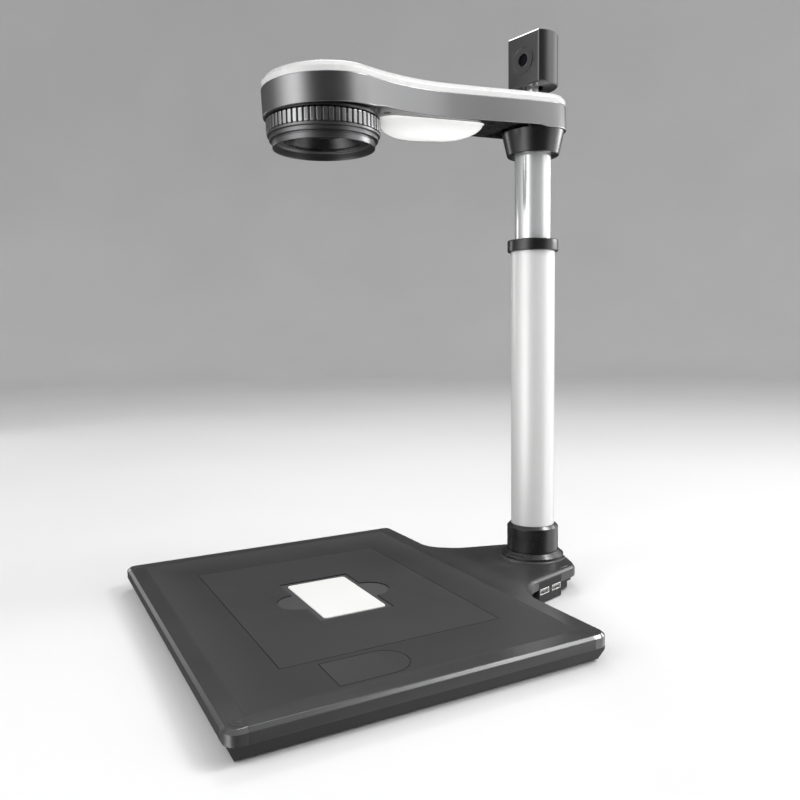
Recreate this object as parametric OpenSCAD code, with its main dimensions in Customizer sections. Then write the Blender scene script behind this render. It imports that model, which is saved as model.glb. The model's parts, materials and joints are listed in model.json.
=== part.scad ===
// Document camera: a flat document board with a neck at its back edge, a
// telescopic column on the neck, and an arm with a downward camera head.
// Millimetres. The origin is the centre of the board on the table, +Z up,
// +Y toward the column.

/* [Board] */
// Length of the board, along X
board_l = 354; // [340:1:380]
// Width of the board, along Y
board_w = 283; // [276:1:300]
// Height of the board's top face above the table
board_top = 21.5; // [20:0.5:24]
// Height of the underside of the side band
band_z = 12; // [11:0.5:13]
// Width of the bevel round the top edge
bevel_w = 2.8; // [1:0.1:4]
// Drop of the bevel round the top edge
bevel_h = 2; // [1:0.1:3]
// Radius of the board's corners
corner_r = 9; // [6:0.5:12]
// Size of a corner cap
cap_size = 14; // [12:0.5:16]

/* [Mat] */
// Length of the document mat
mat_l = 322; // [300:1:330]
// Width of the document mat
mat_w = 251.5; // [240:0.5:255]
// Thickness of the document mat
mat_t = 1.6; // [1.6:0.1:2]
// Length of the page outline on the mat
page_l = 225; // [200:1:240]
// Width of the page outline on the mat
page_w = 176.6; // [160:0.5:185]
// Length of the card recess
recess_l = 96; // [92:0.5:100]
// Width of the card recess
recess_w = 63.5; // [60:0.5:68]
// Depth of the card recess
recess_d = 0.9; // [0.8:0.05:1]
// Radius of the two finger notches of the recess
notch_r = 18; // [14:0.5:22]
// Length of the card
card_l = 85.6; // [80:0.1:90]
// Width of the card
card_w = 53.98; // [50:0.01:58]
// Thickness of the card
card_t = 0.76; // [0.6:0.02:0.8]

/* [Neck] */
// Distance of the column's axis behind the middle of the board
column_y = 209; // [205:0.5:215]
// Height of the neck's lip above the table
neck_top = 23.4; // [22.5:0.1:24]
// Height of the column's seat above the table
seat_top = 26; // [25:0.1:27]
// Half width of the neck at the column's axis
neck_half = 49; // [47:0.5:52]
// Angle by which each side of the neck closes toward the back
neck_taper = 15.7; // [12:0.1:18]
// Radius of the neck's back end
neck_end_r = 73; // [68:1:80]
// Distance of the neck's back end behind the middle of the board
neck_end_y = 239; // [236:1:244]
// Radius of the fillet between the board and the neck
neck_fillet = 38; // [30:1:44]
// Radius of the neck's two back corners
neck_corner = 12; // [8:1:16]

/* [Column] */
// Radius of the flange's foot
flange_r = 29.4; // [28:0.1:30]
// Radius of the swivel collar and of the flange's top
collar_r = 24.2; // [23.5:0.1:25]
// Height of the flange's top above the table
flange_top = 32; // [31:0.1:33]
// Height of the collar's shoulder above the table
collar_top = 54.2; // [50:0.1:58]
// Outer radius of the outer tube
outer_r = 20.4; // [20:0.1:21]
// Wall of the outer tube
outer_wall = 2; // [2:0.1:2.4]
// Height of the outer tube's end above the table
outer_top = 323; // [310:1:330]
// Outer radius of the end ring
end_ring_r = 23.5; // [23:0.1:24.5]
// Height of the end ring
end_ring_h = 10.8; // [9:0.1:13]
// Outer radius of the inner tube
inner_r = 16.7; // [16.3:0.1:16.8]
// Wall of the inner tube
inner_wall = 1.5; // [1.2:0.1:2]
// Length of the inner tube
inner_len = 246; // [230:1:260]

/* [Arm] */
// Height of the arm's parting line above the table, at the column's axis
arm_z = 443.5; // [443.5:0.1:446]
// Angle by which the arm falls toward its head
arm_slope = 2.5; // [2.2:0.1:2.6]
// Height of the arm's side band
band_h = 20; // [19.8:0.1:20]
// Wall of the arm's side band
band_wall = 2.2; // [2:0.1:2.4]
// Height of the arm's top cover
cover_h = 8.8; // [8:0.1:9.5]
// Radius of the arm's head
head_r = 49; // [48.5:0.1:50]
// Radius of the arm's rear end
rear_r = 29.6; // [29.2:0.1:30.5]
// Half width of the arm at its waist
waist_half = 26; // [25:0.5:27]
// Radius of the arm socket's foot
socket_foot_r = 23.8; // [22:0.1:25]
// Radius of the arm socket's top
socket_top_r = 28.6; // [27:0.1:29]
// Height of the socket's foot above the table
socket_z = 402; // [400:1:404]
// Length of the lamp diffuser
lamp_l = 102; // [94:1:104]
// Width of the lamp diffuser
lamp_w = 24; // [22:1:24]
// Depth of the lamp diffuser below the arm
lamp_d = 15; // [12:0.5:16]

/* [Camera head] */
// Height of the focus ring's top above the table
focus_top = 410.2; // [410:0.1:410.3]
// Height of the focus ring's foot above the table
focus_foot = 396.8; // [396.6:0.1:397.6]
// Radius over the ribs of the focus ring
focus_r = 45.6; // [44.5:0.1:46]
// Number of ribs on the focus ring
focus_ribs = 60; // [40:1:64]
// Height of the hood's foot above the table
hood_foot = 388; // [386:0.1:389]
// Radius of the hood's skirt
hood_r = 41.4; // [40.5:0.1:42]
// Radius of the lens barrel
barrel_r = 32.95; // [32.9:0.01:32.97]

/* [Front camera] */
// Radius of the front camera's housing
aux_r = 22.5; // [22:0.1:23]
// Distance of its flat face from the housing's axis
aux_face = 13.5; // [13:0.1:14]
// Height of the front camera's housing
aux_h = 45.5; // [44:0.5:47]
// Height of the housing's underside above the table
aux_z = 463; // [462.5:0.1:466]
// Angle by which the front camera is turned to the side
aux_pan = 11; // [-40:1:40]

/* [Hidden] */
$fn = 96;
EPS = 0.05;
FIT = 0.05;
GAP = 0.1;
back_y = board_w / 2;
arm_len = column_y;

// Inside of the base
skin = 3;
floor_z = 1.5;
floor_t = 2.5;
foot_r = 9;
post_r = 5;
screw_r = 1.9;
undercut = 3.5;
neck_under = 7;
neck_step_z = 9.5;
neck_wall = 2;
page_dy = 0.7;
groove_w = 0.6;
groove_d = 0.45;
cavity_top = board_top - mat_t - skin;
neck_cavity_top = neck_top - skin;

// Neck outline: the straight side is a line at distance side_d from the origin
// along its own normal, side_n.
side_n = [cos(neck_taper), sin(neck_taper)];
side_t = [-sin(neck_taper), cos(neck_taper)];
side_d = side_n * [neck_half, column_y];
end_c = neck_end_y - neck_end_r;
// The lip's rounding: how far each layer is drawn in and how far it stops
// below the neck's top.
lip_steps = [[0, 1.8], [0.25, 1.2], [0.7, 0.7], [1.5, 0.3], [2.8, 0]];

// Port bay: places are measured along the neck's side from the column's row
bay_mid = -24;
bay_len = 33.6;
bay_top = neck_top - 3.4;
bay_in = 9;
port_z = 11;
port_pitch = 17.8;
port_w = 13.1;
port_h = 5.1;
port_len = 14;

// Column
spindle_r = 6;
spindle_bore = 3.2;
collar_floor = 6;
tube_foot = flange_top + GAP + collar_floor;
outer_bore = outer_r - outer_wall;
end_ring_foot = outer_top - 8.3;
end_ring_top = end_ring_foot + end_ring_h;
inner_bore = inner_r - inner_wall;
inner_top = socket_z + 34;
inner_foot = inner_top - inner_len;
guide_len = 28;
slider_len = 15;
key_w = 2.8;

// Arm
head_y = -arm_len;
shoulder_dy = 20;
waist_y = -105;
plate_t = 2;
plate_z = -band_h + 1.5;
lamp_y = -110;
lamp_wall = 2;
rib_w = 6;
rib_top = -3.5;
front_rib_y = -162;
front_rib_x = 13.2;
rear_rib_y = -57;
rear_rib_x = 10.3;
cover_screw_at = [
  [-18, front_rib_y], [18, front_rib_y], [-13, rear_rib_y], [13, rear_rib_y]
];
arm_lip_d = 1.6;
seat_t = 3;
seat_y = -33;
ledge_z = -11.5;
ledge_t = 2.5;
ledge_in = 37;
ledge_screw_r = 40.5;

// Camera head
mount_r = 44;
collar_out = 45.3;
sleeve_r = 40;
sleeve_foot_r = 38;
sleeve_foot = 395;
pin_r = 1.5;
pin_z = 404;
pin_pitch = 9;
barrel_foot = 396;
barrel_top = 415.5;
glass_z = barrel_foot + 11;
glass_r = 24;
sensor_z = 420;

// Front camera
aux_axis_z = aux_z + 8;
aux_front_t = 6;
aux_wall = 2;
aux_lens_z = aux_z + aux_h / 2;
aux_chamfer = 1.2;
aux_half = sqrt(aux_r * aux_r - aux_face * aux_face);
aux_stem_r = 5;
aux_mount_top = arm_z + cover_h + 1.4;

function arc(c, r, a0, a1, n) =
  [for (i = [0:n]) c + r * [cos(a0 + (a1 - a0) * i / n), sin(a0 + (a1 - a0) * i / n)]];
function flip(pts) = [for (i = [len(pts) - 1:-1:0]) [-pts[i][0], pts[i][1]]];

// Right half of the neck's outline, from the board to the middle of its end,
// drawn in by inset.
function neck_half_pts(inset) =
  let (
    d = side_d - inset,
    rf = neck_fillet + inset,
    fy = back_y - inset + rf,
    fx = (d + rf - side_n[1] * fy) / side_n[0],
    re = neck_end_r - inset,
    rc = neck_corner - min(inset, neck_corner - 2),
    e = d - rc - side_n[1] * end_c,
    h = sqrt((re - rc) * (re - rc) - e * e),
    c = [0, end_c] + e * side_n + h * side_t,
    beta = atan2(c[1] - end_c, c[0])
  )
  concat(
    [[fx, back_y - 30]],
    arc([fx, fy], rf, 270, 180 + neck_taper, 12),
    arc(c, rc, neck_taper, beta, 8),
    arc([0, end_c], re, beta, 90, 10)
  );

module neck_2d(inset) {
  pts = neck_half_pts(inset);
  polygon(concat(pts, flip(pts)));
}

module board_2d(inset) {
  l = board_l / 2 - inset;
  w = board_w / 2 - inset;
  r = max(corner_r - inset, 1);
  square([2 * l, 2 * (w - r)], center = true);
  square([2 * (l - r), 2 * w], center = true);
  for (sx = [-1, 1], sy = [-1, 1])
    translate([sx * (l - r), sy * (w - r)])
      circle(r);
}

module base_2d(inset) {
  board_2d(inset);
  neck_2d(inset);
}

// Slab whose four sides follow the profile of half sizes [inset, z] below.
module sided_slab(profile) {
  n = len(profile) - 1;
  intersection() {
    rotate([90, 0, 90])
      linear_extrude(height = board_l, center = true)
        polygon(concat(
          [for (p = profile) [board_w / 2 - p[0], p[1]]],
          [for (i = [n:-1:0]) [profile[i][0] - board_w / 2, profile[i][1]]]
        ));
    rotate([90, 0, 0])
      linear_extrude(height = board_w, center = true)
        polygon(concat(
          [for (p = profile) [board_l / 2 - p[0], p[1]]],
          [for (i = [n:-1:0]) [profile[i][0] - board_l / 2, profile[i][1]]]
        ));
    translate([0, 0, profile[0][1]])
      linear_extrude(height = profile[n][1] - profile[0][1])
        board_2d(0);
  }
}

module at_side(s, out, z) {
  p = side_d * side_n + out * side_n;
  o = side_t * [neck_half, column_y] + s;
  translate([p[0] + o * side_t[0], p[1] + o * side_t[1], z])
    rotate([0, 0, neck_taper])
      children();
}

module at_column(z) {
  translate([0, column_y, z])
    children();
}

module in_arm() {
  translate([0, column_y, arm_z])
    rotate([arm_slope, 0, 0])
      children();
}

module in_aux(z) {
  translate([0, column_y, z])
    rotate([0, 0, aux_pan])
      children();
}

module ring(r_out, r_in, h) {
  difference() {
    cylinder(r = r_out, h = h);
    translate([0, 0, -1])
      cylinder(r = r_in, h = h + 2);
  }
}

module at_foot_places() {
  for (sx = [-1, 1], sy = [-1, 1])
    translate([sx * (board_l / 2 - 32), sy * (board_w / 2 - 30), 0])
      children();
  children();
  translate([0, column_y, 0])
    children();
}

module at_screw_places() {
  for (sx = [-1, 0, 1], sy = [-1, 1])
    translate([sx * (board_l / 2 - 22), sy * (board_w / 2 - 14), 0])
      children();
}

// ---------------------------------------------------------------- base

module base_top_cover() {
  color([0.20, 0.20, 0.21])
    difference() {
      union() {
        sided_slab([[0, band_z], [0, board_top - bevel_h], [bevel_w, board_top]]);
        intersection() {
          union()
            for (p = lip_steps)
              translate([0, 0, band_z])
                linear_extrude(height = neck_top - p[1] - band_z)
                  neck_2d(p[0]);
          neck_ramp();
        }
        intersection() {
          at_column(neck_top - 1)
            cylinder(r1 = flange_r + 13, r2 = flange_r + 1, h = seat_top - neck_top + 1);
          translate([0, 0, band_z])
            linear_extrude(height = 30)
              neck_2d(bevel_w);
        }
      }
      // Hollow under the board and under the neck, round the screw bosses
      translate([0, 0, band_z - 1])
        linear_extrude(height = cavity_top - band_z + 1)
          difference() {
            base_2d(skin + 1);
            at_posts_2d(post_r);
          }
      translate([0, 0, band_z - 1])
        linear_extrude(height = neck_cavity_top - band_z + 1)
          intersection() {
            neck_2d(skin + 1);
            translate([-board_l / 2, back_y + 8])
              square([board_l, 200]);
          }
      // Pocket of the mat
      translate([-mat_l / 2 - GAP, -mat_w / 2 - GAP, board_top - mat_t])
        cube([mat_l + 2 * GAP, mat_w + 2 * GAP, mat_t + 1]);
      // Pockets of the corner caps
      corner_blocks(GAP, band_z - 1);
      at_screw_places()
        cylinder(r = screw_r + FIT, h = cavity_top - 0.4);
      // Bore of the spindle
      at_column(0)
        cylinder(r = spindle_r + GAP, h = 40);
      // Opening of the port bay
      at_side(bay_mid, -bay_in - GAP, band_z - 1)
        translate([0, -bay_len / 2 - GAP, 0])
          cube([bay_in + 10, bay_len + 2 * GAP, bay_top + GAP - band_z + 1]);
      // Opening of the uplink socket
      translate([-7, neck_end_y - 10, band_z - 1])
        cube([14, 20, 6.1]);
    }
}

// Solid under the neck's top face, which rises from the board to the neck.
module neck_ramp() {
  rotate([90, 0, 90])
    linear_extrude(height = board_l, center = true)
      polygon([
        [60, band_z], [60, board_top - 1], [mat_w / 2 + 1, board_top - 1],
        [mat_w / 2 + 1, board_top], [back_y + 8, neck_top], [300, neck_top],
        [300, band_z]
      ]);
}

module corner_blocks(grow, z) {
  for (sx = [-1, 1], sy = [-1, 1])
    scale([sx, sy, 1])
      translate([board_l / 2 - cap_size - grow, board_w / 2 - cap_size - grow, z])
        cube([cap_size + 1, cap_size + 1, 20]);
}

module corner_caps() {
  color([0.24, 0.24, 0.25])
    difference() {
      intersection() {
        sided_slab([[0, band_z], [0, board_top - bevel_h], [bevel_w, board_top]]);
        corner_blocks(0, band_z - 1);
      }
      // Two engraved arcs on the cap of one corner
      for (r = [4, 7])
        translate([board_l / 2 - 12, 12 - board_w / 2, board_top - 0.3])
          intersection() {
            ring(r + 0.25, r - 0.25, 1);
            translate([0.5, -20.5, -1])
              cube([20, 20, 4]);
          }
    }
}

module base_bottom_cover() {
  color([0.10, 0.10, 0.11])
    difference() {
      union() {
        sided_slab([[6, floor_z], [1.5, band_z]]);
        translate([0, 0, floor_z])
          linear_extrude(height = neck_step_z - floor_z)
            neck_2d(neck_under);
        translate([0, 0, neck_step_z - EPS])
          linear_extrude(height = band_z - neck_step_z + EPS)
            neck_2d(undercut);
      }
      // Hollow, less a solid foot under the column
      difference() {
        translate([0, 0, floor_z + floor_t])
          linear_extrude(height = 20)
            difference() {
              union() {
                board_2d(undercut + 5);
                neck_2d(neck_under + neck_wall);
              }
              at_posts_2d(post_r);
            }
        at_column(0)
          cylinder(r = 20, h = 40);
      }
      at_screw_places()
        cylinder(r = screw_r + GAP, h = 40);
      at_screw_places()
        translate([0, 0, floor_z - 1])
          cylinder(r = 3.6, h = 3);
      // Pocket of the spindle's nut and the cable's way out of it
      at_column(floor_z + floor_t + 1)
        cylinder(r = spindle_r + 5, h = 40);
      at_column(floor_z + floor_t + 1)
        translate([-4, -30, 0])
          cube([8, 30, 20]);
      // Seats of the feet
      at_foot_places()
        translate([0, 0, floor_z - 1])
          cylinder(r = foot_r, h = 1.5);
      // Opening of the port bay
      at_side(bay_mid, -bay_in - GAP, floor_z - 1)
        translate([0, -bay_len / 2 - GAP, 0])
          cube([bay_in + 10, bay_len + 2 * GAP, 20]);
      // Opening of the uplink socket
      translate([-6.1, neck_end_y - 21, floor_z + floor_t + 1.6])
        cube([12.2, 27, 20]);
    }
}

module at_posts_2d(r) {
  for (sx = [-1, 0, 1], sy = [-1, 1])
    translate([sx * (board_l / 2 - 22), sy * (board_w / 2 - 14)])
      circle(r);
}

module ballast_plate() {
  color([0.55, 0.57, 0.60])
    translate([0, 0, floor_z + floor_t])
      linear_extrude(height = 3)
        difference() {
          square([300, 236], center = true);
          for (sx = [-1, 1], sy = [-1, 1])
            translate([sx * 60, sy * 60])
              circle(12);
        }
}

module rubber_feet() {
  color([0.07, 0.07, 0.07])
    at_foot_places()
      difference() {
        cylinder(r1 = foot_r - 0.8, r2 = foot_r, h = floor_z + 0.5);
        translate([0, 0, floor_z])
          cylinder(r = 3, h = 2);
      }
}

module base_screws() {
  color([0.62, 0.63, 0.65])
    at_screw_places()
      union() {
        translate([0, 0, floor_z + 0.4])
          cylinder(r = 3.4, h = 1.6);
        translate([0, 0, floor_z + 1])
          cylinder(r = screw_r, h = cavity_top - floor_z - 1.5);
      }
}

module document_mat() {
  color([0.26, 0.26, 0.27])
    difference() {
      translate([-mat_l / 2, -mat_w / 2, board_top - mat_t])
        cube([mat_l, mat_w, mat_t]);
      // Card recess with its finger notches
      translate([-recess_l / 2, -recess_w / 2, board_top - recess_d])
        cube([recess_l, recess_w, 2]);
      for (sy = [-1, 1])
        translate([0, sy * recess_w / 2, board_top - recess_d])
          cylinder(r = notch_r, h = 2);
      // Page outline
      page_groove();
      // Outline of the small pad beside the page
      pad_groove();
    }
}

module page_groove() {
  translate([0, page_dy, board_top - groove_d])
    linear_extrude(height = 1)
      difference() {
        square([page_l + groove_w, page_w + groove_w], center = true);
        square([page_l - groove_w, page_w - groove_w], center = true);
      }
}

// The pad has square corners at one end and a round end of half its width.
module pad_groove() {
  translate([136.8, -43, board_top - groove_d])
    linear_extrude(height = 1)
      difference() {
        pad_2d(18.5);
        pad_2d(18.5 - groove_w);
      }
}

module pad_2d(r) {
  translate([-r, -r - 1.4])
    square([2 * r, 20 + r + 1.4]);
  translate([0, 20])
    circle(r);
}

module sample_card() {
  color([0.93, 0.93, 0.91])
    translate([1, 0, board_top - recess_d + 0.02])
      linear_extrude(height = card_t)
        union() {
          square([card_l, card_w - 6.36], center = true);
          square([card_l - 6.36, card_w], center = true);
          for (sx = [-1, 1], sy = [-1, 1])
            translate([sx * (card_l / 2 - 3.18), sy * (card_w / 2 - 3.18)])
              circle(3.18);
        }
}

module port_panel() {
  color([0.16, 0.16, 0.17])
    at_side(bay_mid, -bay_in, floor_z - 0.5)
      difference() {
        translate([0, -bay_len / 2, 0])
          cube([bay_in, bay_len, bay_top - floor_z + 0.5]);
        translate([-1, -bay_len / 2 + 1.5, 2])
          cube([bay_in - 1, bay_len - 3, bay_top - floor_z - 3]);
        for (s = [-1, 1])
          translate([0, s * port_pitch / 2 - port_w / 2 - GAP, port_z - floor_z + 0.5 - port_h / 2 - GAP])
            cube([20, port_w + 2 * GAP, port_h + 2 * GAP]);
      }
}

module usb_shells() {
  color([0.86, 0.87, 0.88])
    for (s = [-1, 1])
      at_side(bay_mid + s * port_pitch / 2, -port_len + 0.2, port_z)
        difference() {
          translate([0, -port_w / 2, -port_h / 2])
            cube([port_len, port_w, port_h]);
          translate([0.5, -port_w / 2 + 0.5, -port_h / 2 + 0.5])
            cube([port_len, port_w - 1, port_h - 1]);
        }
}

module usb_tongues() {
  color([0.90, 0.90, 0.88])
    for (s = [-1, 1])
      at_side(bay_mid + s * port_pitch / 2, -port_len + 0.7 + FIT, port_z)
        translate([0, -port_w / 2 + 0.5 + FIT, 0])
          cube([port_len - 1.4, port_w - 1 - 2 * FIT, 1.9]);
}

module hub_board() {
  color([0.10, 0.35, 0.20])
    union() {
      at_side(bay_mid, -26, port_z - port_h / 2 - 1.6)
        translate([0, -22, 0])
          cube([26 - bay_in - 0.3, 38.4, 1.6]);
      at_side(bay_mid, -25, port_z - port_h / 2)
        translate([0, -12, 0])
          cube([8, 8, 1.4]);
    }
}

module uplink_socket() {
  color([0.70, 0.71, 0.72])
    translate([-6, neck_end_y - 20, floor_z + floor_t + 1.7])
      difference() {
        cube([12, 12, 10.8]);
        translate([1, 2, 1])
          cube([10, 20, 8.8]);
      }
}

// -------------------------------------------------------------- column

module column_flange() {
  color([0.18, 0.18, 0.19])
    at_column(0)
      difference() {
        rotate_extrude()
          polygon([
            [spindle_r + GAP, seat_top], [flange_r, seat_top], [flange_r, seat_top + 1.6],
            [collar_r + 0.8, flange_top - 1], [collar_r + 0.8, flange_top],
            [spindle_r + GAP, flange_top]
          ]);
        // Index groove on the cone, with a dimple at its end
        intersection() {
          translate([0, 0, seat_top + 2.9])
            ring(40, flange_r - 2.7, 0.7);
          rotate([0, 0, 253])
            cube([50, 50, 60]);
          rotate([0, 0, 212])
            cube([50, 50, 60]);
        }
        rotate([0, 0, 304])
          translate([flange_r - 3, 0, seat_top + 3.2])
            rotate([0, 90, 0])
              cylinder(r = 0.9, h = 10, $fn = 24);
      }
}

module seat_plate() {
  color([0.55, 0.57, 0.60])
    at_column(neck_cavity_top - 3 - GAP)
      ring(25.5, spindle_r + GAP, 3);
}

module swivel_spindle() {
  color([0.60, 0.61, 0.63])
    at_column(0)
      difference() {
        union() {
          translate([0, 0, neck_cavity_top - 12])
            cylinder(r = spindle_r, h = tube_foot + 1.2 - neck_cavity_top + 12);
          translate([0, 0, tube_foot + 1.1])
            cylinder(r = 11, h = 4, $fn = 6);
        }
        cylinder(r = spindle_bore, h = 80);
      }
}

module spindle_nut() {
  color([0.62, 0.63, 0.65])
    at_column(neck_cavity_top - 9.2)
      difference() {
        cylinder(r = 10, h = 6, $fn = 6);
        translate([0, 0, -1])
          cylinder(r = spindle_r, h = 8);
      }
}

module spindle_washer() {
  color([0.70, 0.71, 0.72])
    at_column(tube_foot + FIT)
      ring(11.5, spindle_r + GAP, 1);
}

module swivel_bush() {
  color([0.72, 0.58, 0.32])
    at_column(flange_top + GAP)
      ring(spindle_r + 2.5, spindle_r + FIT, collar_floor);
}

module swivel_collar() {
  color([0.14, 0.14, 0.15])
    at_column(0)
      rotate_extrude()
        polygon([
          [spindle_r + 2.5, flange_top + GAP], [collar_r, flange_top + GAP],
          [collar_r, collar_top], [outer_r + 0.8, collar_top + 2.8],
          [outer_r, collar_top + 2.8], [outer_r, tube_foot],
          [spindle_r + 2.5, tube_foot]
        ]);
}

module outer_tube() {
  color([0.86, 0.86, 0.85])
    at_column(0)
      difference() {
        translate([0, 0, tube_foot])
          ring(outer_r, outer_bore, outer_top - tube_foot);
        // Keyway inside the tube, open at the top
        translate([-1.5, 0, tube_foot + 40])
          cube([3, outer_bore + 0.9, outer_top]);
      }
}

module end_ring() {
  color([0.13, 0.13, 0.14])
    at_column(0)
      rotate_extrude()
        polygon([
          [outer_r, end_ring_foot], [end_ring_r - 0.5, end_ring_foot],
          [end_ring_r, end_ring_foot + 0.5], [end_ring_r, end_ring_top - 0.8],
          [end_ring_r - 0.8, end_ring_top], [inner_r + 0.3, end_ring_top],
          [inner_r + 0.3, outer_top], [outer_r, outer_top]
        ]);
}

module guide_bush() {
  color([0.85, 0.85, 0.80])
    at_column(outer_top - guide_len)
      ring(outer_bore, inner_r + FIT, guide_len);
}

module inner_tube() {
  color([0.80, 0.82, 0.84])
    at_column(inner_foot)
      ring(inner_r, inner_bore, inner_len);
}

module slider_bush() {
  color([0.85, 0.85, 0.80])
    at_column(inner_foot)
      difference() {
        ring(outer_bore - FIT, inner_r, slider_len);
        translate([-key_w / 2, inner_r, 3])
          cube([key_w, 4, 9]);
      }
}

module slide_key() {
  color([0.62, 0.63, 0.65])
    at_column(inner_foot + 3)
      translate([-key_w / 2, inner_r + FIT, 0])
        cube([key_w, outer_bore + 0.8 - inner_r - FIT, 9]);
}

// ----------------------------------------------------------------- arm

// Right half of the arm's outline, from the middle of the head to the middle
// of the rear end, drawn in by inset.
function hermite(t, a, b, sa, sb) =
  a * (2 * t * t * t - 3 * t * t + 1) + b * (3 * t * t - 2 * t * t * t)
  + sa * (t * t * t - 2 * t * t + t) + sb * (t * t * t - t * t);

function arm_half_pts(inset) =
  let (
    shoulder_w = sqrt(head_r * head_r - shoulder_dy * shoulder_dy),
    y0 = head_y + shoulder_dy,
    y1 = waist_y,
    slope = -shoulder_dy / shoulder_w,
    a0 = atan2(shoulder_dy, shoulder_w)
  )
  concat(
    arc([0, head_y], head_r - inset, -90, a0, 16),
    [for (i = [1:10]) let (t = i / 10)
      [hermite(t, shoulder_w, waist_half, slope * (y1 - y0), 0) - inset, y0 + (y1 - y0) * t]],
    [for (i = [1:9]) let (t = i / 10)
      [hermite(t, waist_half, rear_r, 0, 0) - inset, y1 - y1 * t]],
    arc([0, 0], rear_r - inset, 0, 90, 12)
  );

module arm_2d(inset) {
  pts = arm_half_pts(inset);
  polygon(concat(pts, flip(pts)));
}

module arm_slice(inset, z0, z1) {
  translate([0, 0, z0])
    linear_extrude(height = z1 - z0)
      arm_2d(inset);
}

// Lip under the band: full depth round the head and round the rear end,
// running out to nothing along the arm.
module arm_lip(grow) {
  d = -band_h - arm_lip_d - grow;
  intersection() {
    difference() {
      arm_slice(-grow, d, -band_h + EPS);
      arm_slice(band_wall + grow, d - 1, 1);
    }
    rotate([90, 0, 90])
      linear_extrude(height = 120, center = true) {
        polygon([[-300, 0], [-300, d], [-190, d], [-172 + grow, -band_h], [-172 + grow, 0]]);
        polygon([[60, 0], [60, d], [-4, d], [-16 - grow, -band_h], [-16 - grow, 0]]);
      }
  }
}

module arm_socket() {
  color([0.12, 0.12, 0.13])
    difference() {
      union() {
        difference() {
          at_column(0)
            rotate_extrude()
              polygon([
                [inner_r, socket_z + 2], [inner_r + 3.4, socket_z],
                [socket_foot_r - 0.6, socket_z], [socket_foot_r, socket_z + 0.6],
                [socket_top_r, arm_z - band_h], [socket_top_r, arm_z],
                [inner_r, arm_z]
              ]);
          in_arm() {
            translate([-60, -60, -band_h - GAP])
              cube([120, 120, 80]);
            arm_lip(GAP);
          }
        }
        // Boss that stands inside the arm
        at_column(arm_z - band_h - 3)
          ring(22, inner_r, inner_top - arm_z + band_h + 3);
      }
      in_arm()
        at_ring_places(24.8)
          translate([0, 0, -band_h - 9])
            cylinder(r = 1.25, h = 20);
    }
}

module at_ring_places(r) {
  for (a = [45:90:315])
    rotate([0, 0, a])
      translate([r, 0, 0])
        children();
}

module socket_screws() {
  color([0.62, 0.63, 0.65])
    in_arm()
      at_ring_places(24.8) {
        translate([0, 0, -band_h - 8])
          cylinder(r = 1.2, h = 8 + seat_t + 0.1);
        translate([0, 0, -band_h + seat_t + FIT])
          cylinder(r = 2.2, h = 1.4);
      }
}

module arm_side_frame() {
  color([0.66, 0.67, 0.69])
    in_arm()
      difference() {
        union() {
          difference() {
            arm_slice(0, -band_h, 0);
            arm_slice(band_wall, -band_h - 1, 1);
          }
          arm_lip(0);
          cover_ribs();
          // Seat of the socket
          intersection() {
            arm_slice(band_wall - EPS, -band_h, -band_h + seat_t);
            translate([-60, seat_y, -band_h - 1])
              cube([120, 80, 10]);
          }
          // Ledge in the head that takes the lens mount
          translate([0, head_y, ledge_z])
            ring(head_r - 1, ledge_in, ledge_t);
        }
        for (p = cover_screw_at)
          translate([p[0], p[1], -band_h])
            cylinder(r = 1.25, h = 12);
        at_ring_places(24.8)
          translate([0, 0, -band_h - 1])
            cylinder(r = 1.3, h = 6);
        translate([0, head_y, ledge_z - 1])
          at_ring_places(ledge_screw_r)
            cylinder(r = 1.3, h = 6);
        rotate([-arm_slope, 0, 0])
          translate([0, 0, -band_h - 5])
            cylinder(r = 22.3, h = 12);
      }
}

// Short ribs on each side of the lamp's two ends, which take the screws of the
// bottom cover.
module cover_ribs() {
  intersection() {
    arm_slice(band_wall - EPS, plate_z + plate_t + GAP, rib_top);
    union() {
      for (s = [0, 1])
        mirror([s, 0, 0]) {
          translate([front_rib_x, front_rib_y - rib_w / 2, -band_h])
            cube([40, rib_w, band_h]);
          translate([rear_rib_x, rear_rib_y - rib_w / 2, -band_h])
            cube([40, rib_w, band_h]);
        }
    }
  }
}

module arm_top_cover() {
  color([0.93, 0.93, 0.93])
    difference() {
      in_arm()
        difference() {
          union() {
            arm_slice(0, 0, cover_h - 3.2);
            arm_slice(1, cover_h - 3.2 - EPS, cover_h - 1.4);
            arm_slice(3, cover_h - 1.4 - EPS, cover_h);
            arm_slice(band_wall + GAP, -2, EPS);
          }
          arm_slice(band_wall + 1.8, -3, cover_h - 3.2);
        }
      at_column(arm_z - 10)
        cylinder(r = 9, h = 40);
    }
}

module arm_bottom_cover() {
  color([0.09, 0.09, 0.10])
    difference() {
      in_arm()
        difference() {
          arm_slice(band_wall + GAP, plate_z, plate_z + plate_t);
          translate([-60, seat_y - GAP, plate_z - 1])
            cube([120, 80, 10]);
          lamp_prism(-1.2, plate_z - 1, plate_t + 2);
          for (p = cover_screw_at)
            translate([p[0], p[1], plate_z - 1]) {
              cylinder(r = 1.6, h = 10);
              cylinder(r = 3.2, h = 2);
            }
        }
      translate([0, 0, 400])
        cylinder(r = mount_r + GAP, h = 40);
    }
}

module cover_screws() {
  color([0.30, 0.30, 0.31])
    in_arm()
      for (p = cover_screw_at)
        translate([p[0], p[1], plate_z + FIT]) {
          cylinder(r = 3, h = 0.9);
          cylinder(r = 1.2, h = 10);
        }
}

// Prism in the shape of the lamp's plan, drawn in by inset.
module lamp_prism(inset, z, h) {
  r = lamp_w / 2 - inset;
  translate([0, lamp_y, z])
    linear_extrude(height = h)
      union() {
        square([2 * r, lamp_l - lamp_w], center = true);
        for (s = [-1, 1])
          translate([0, s * (lamp_l - lamp_w) / 2])
            circle(r);
      }
}

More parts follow.
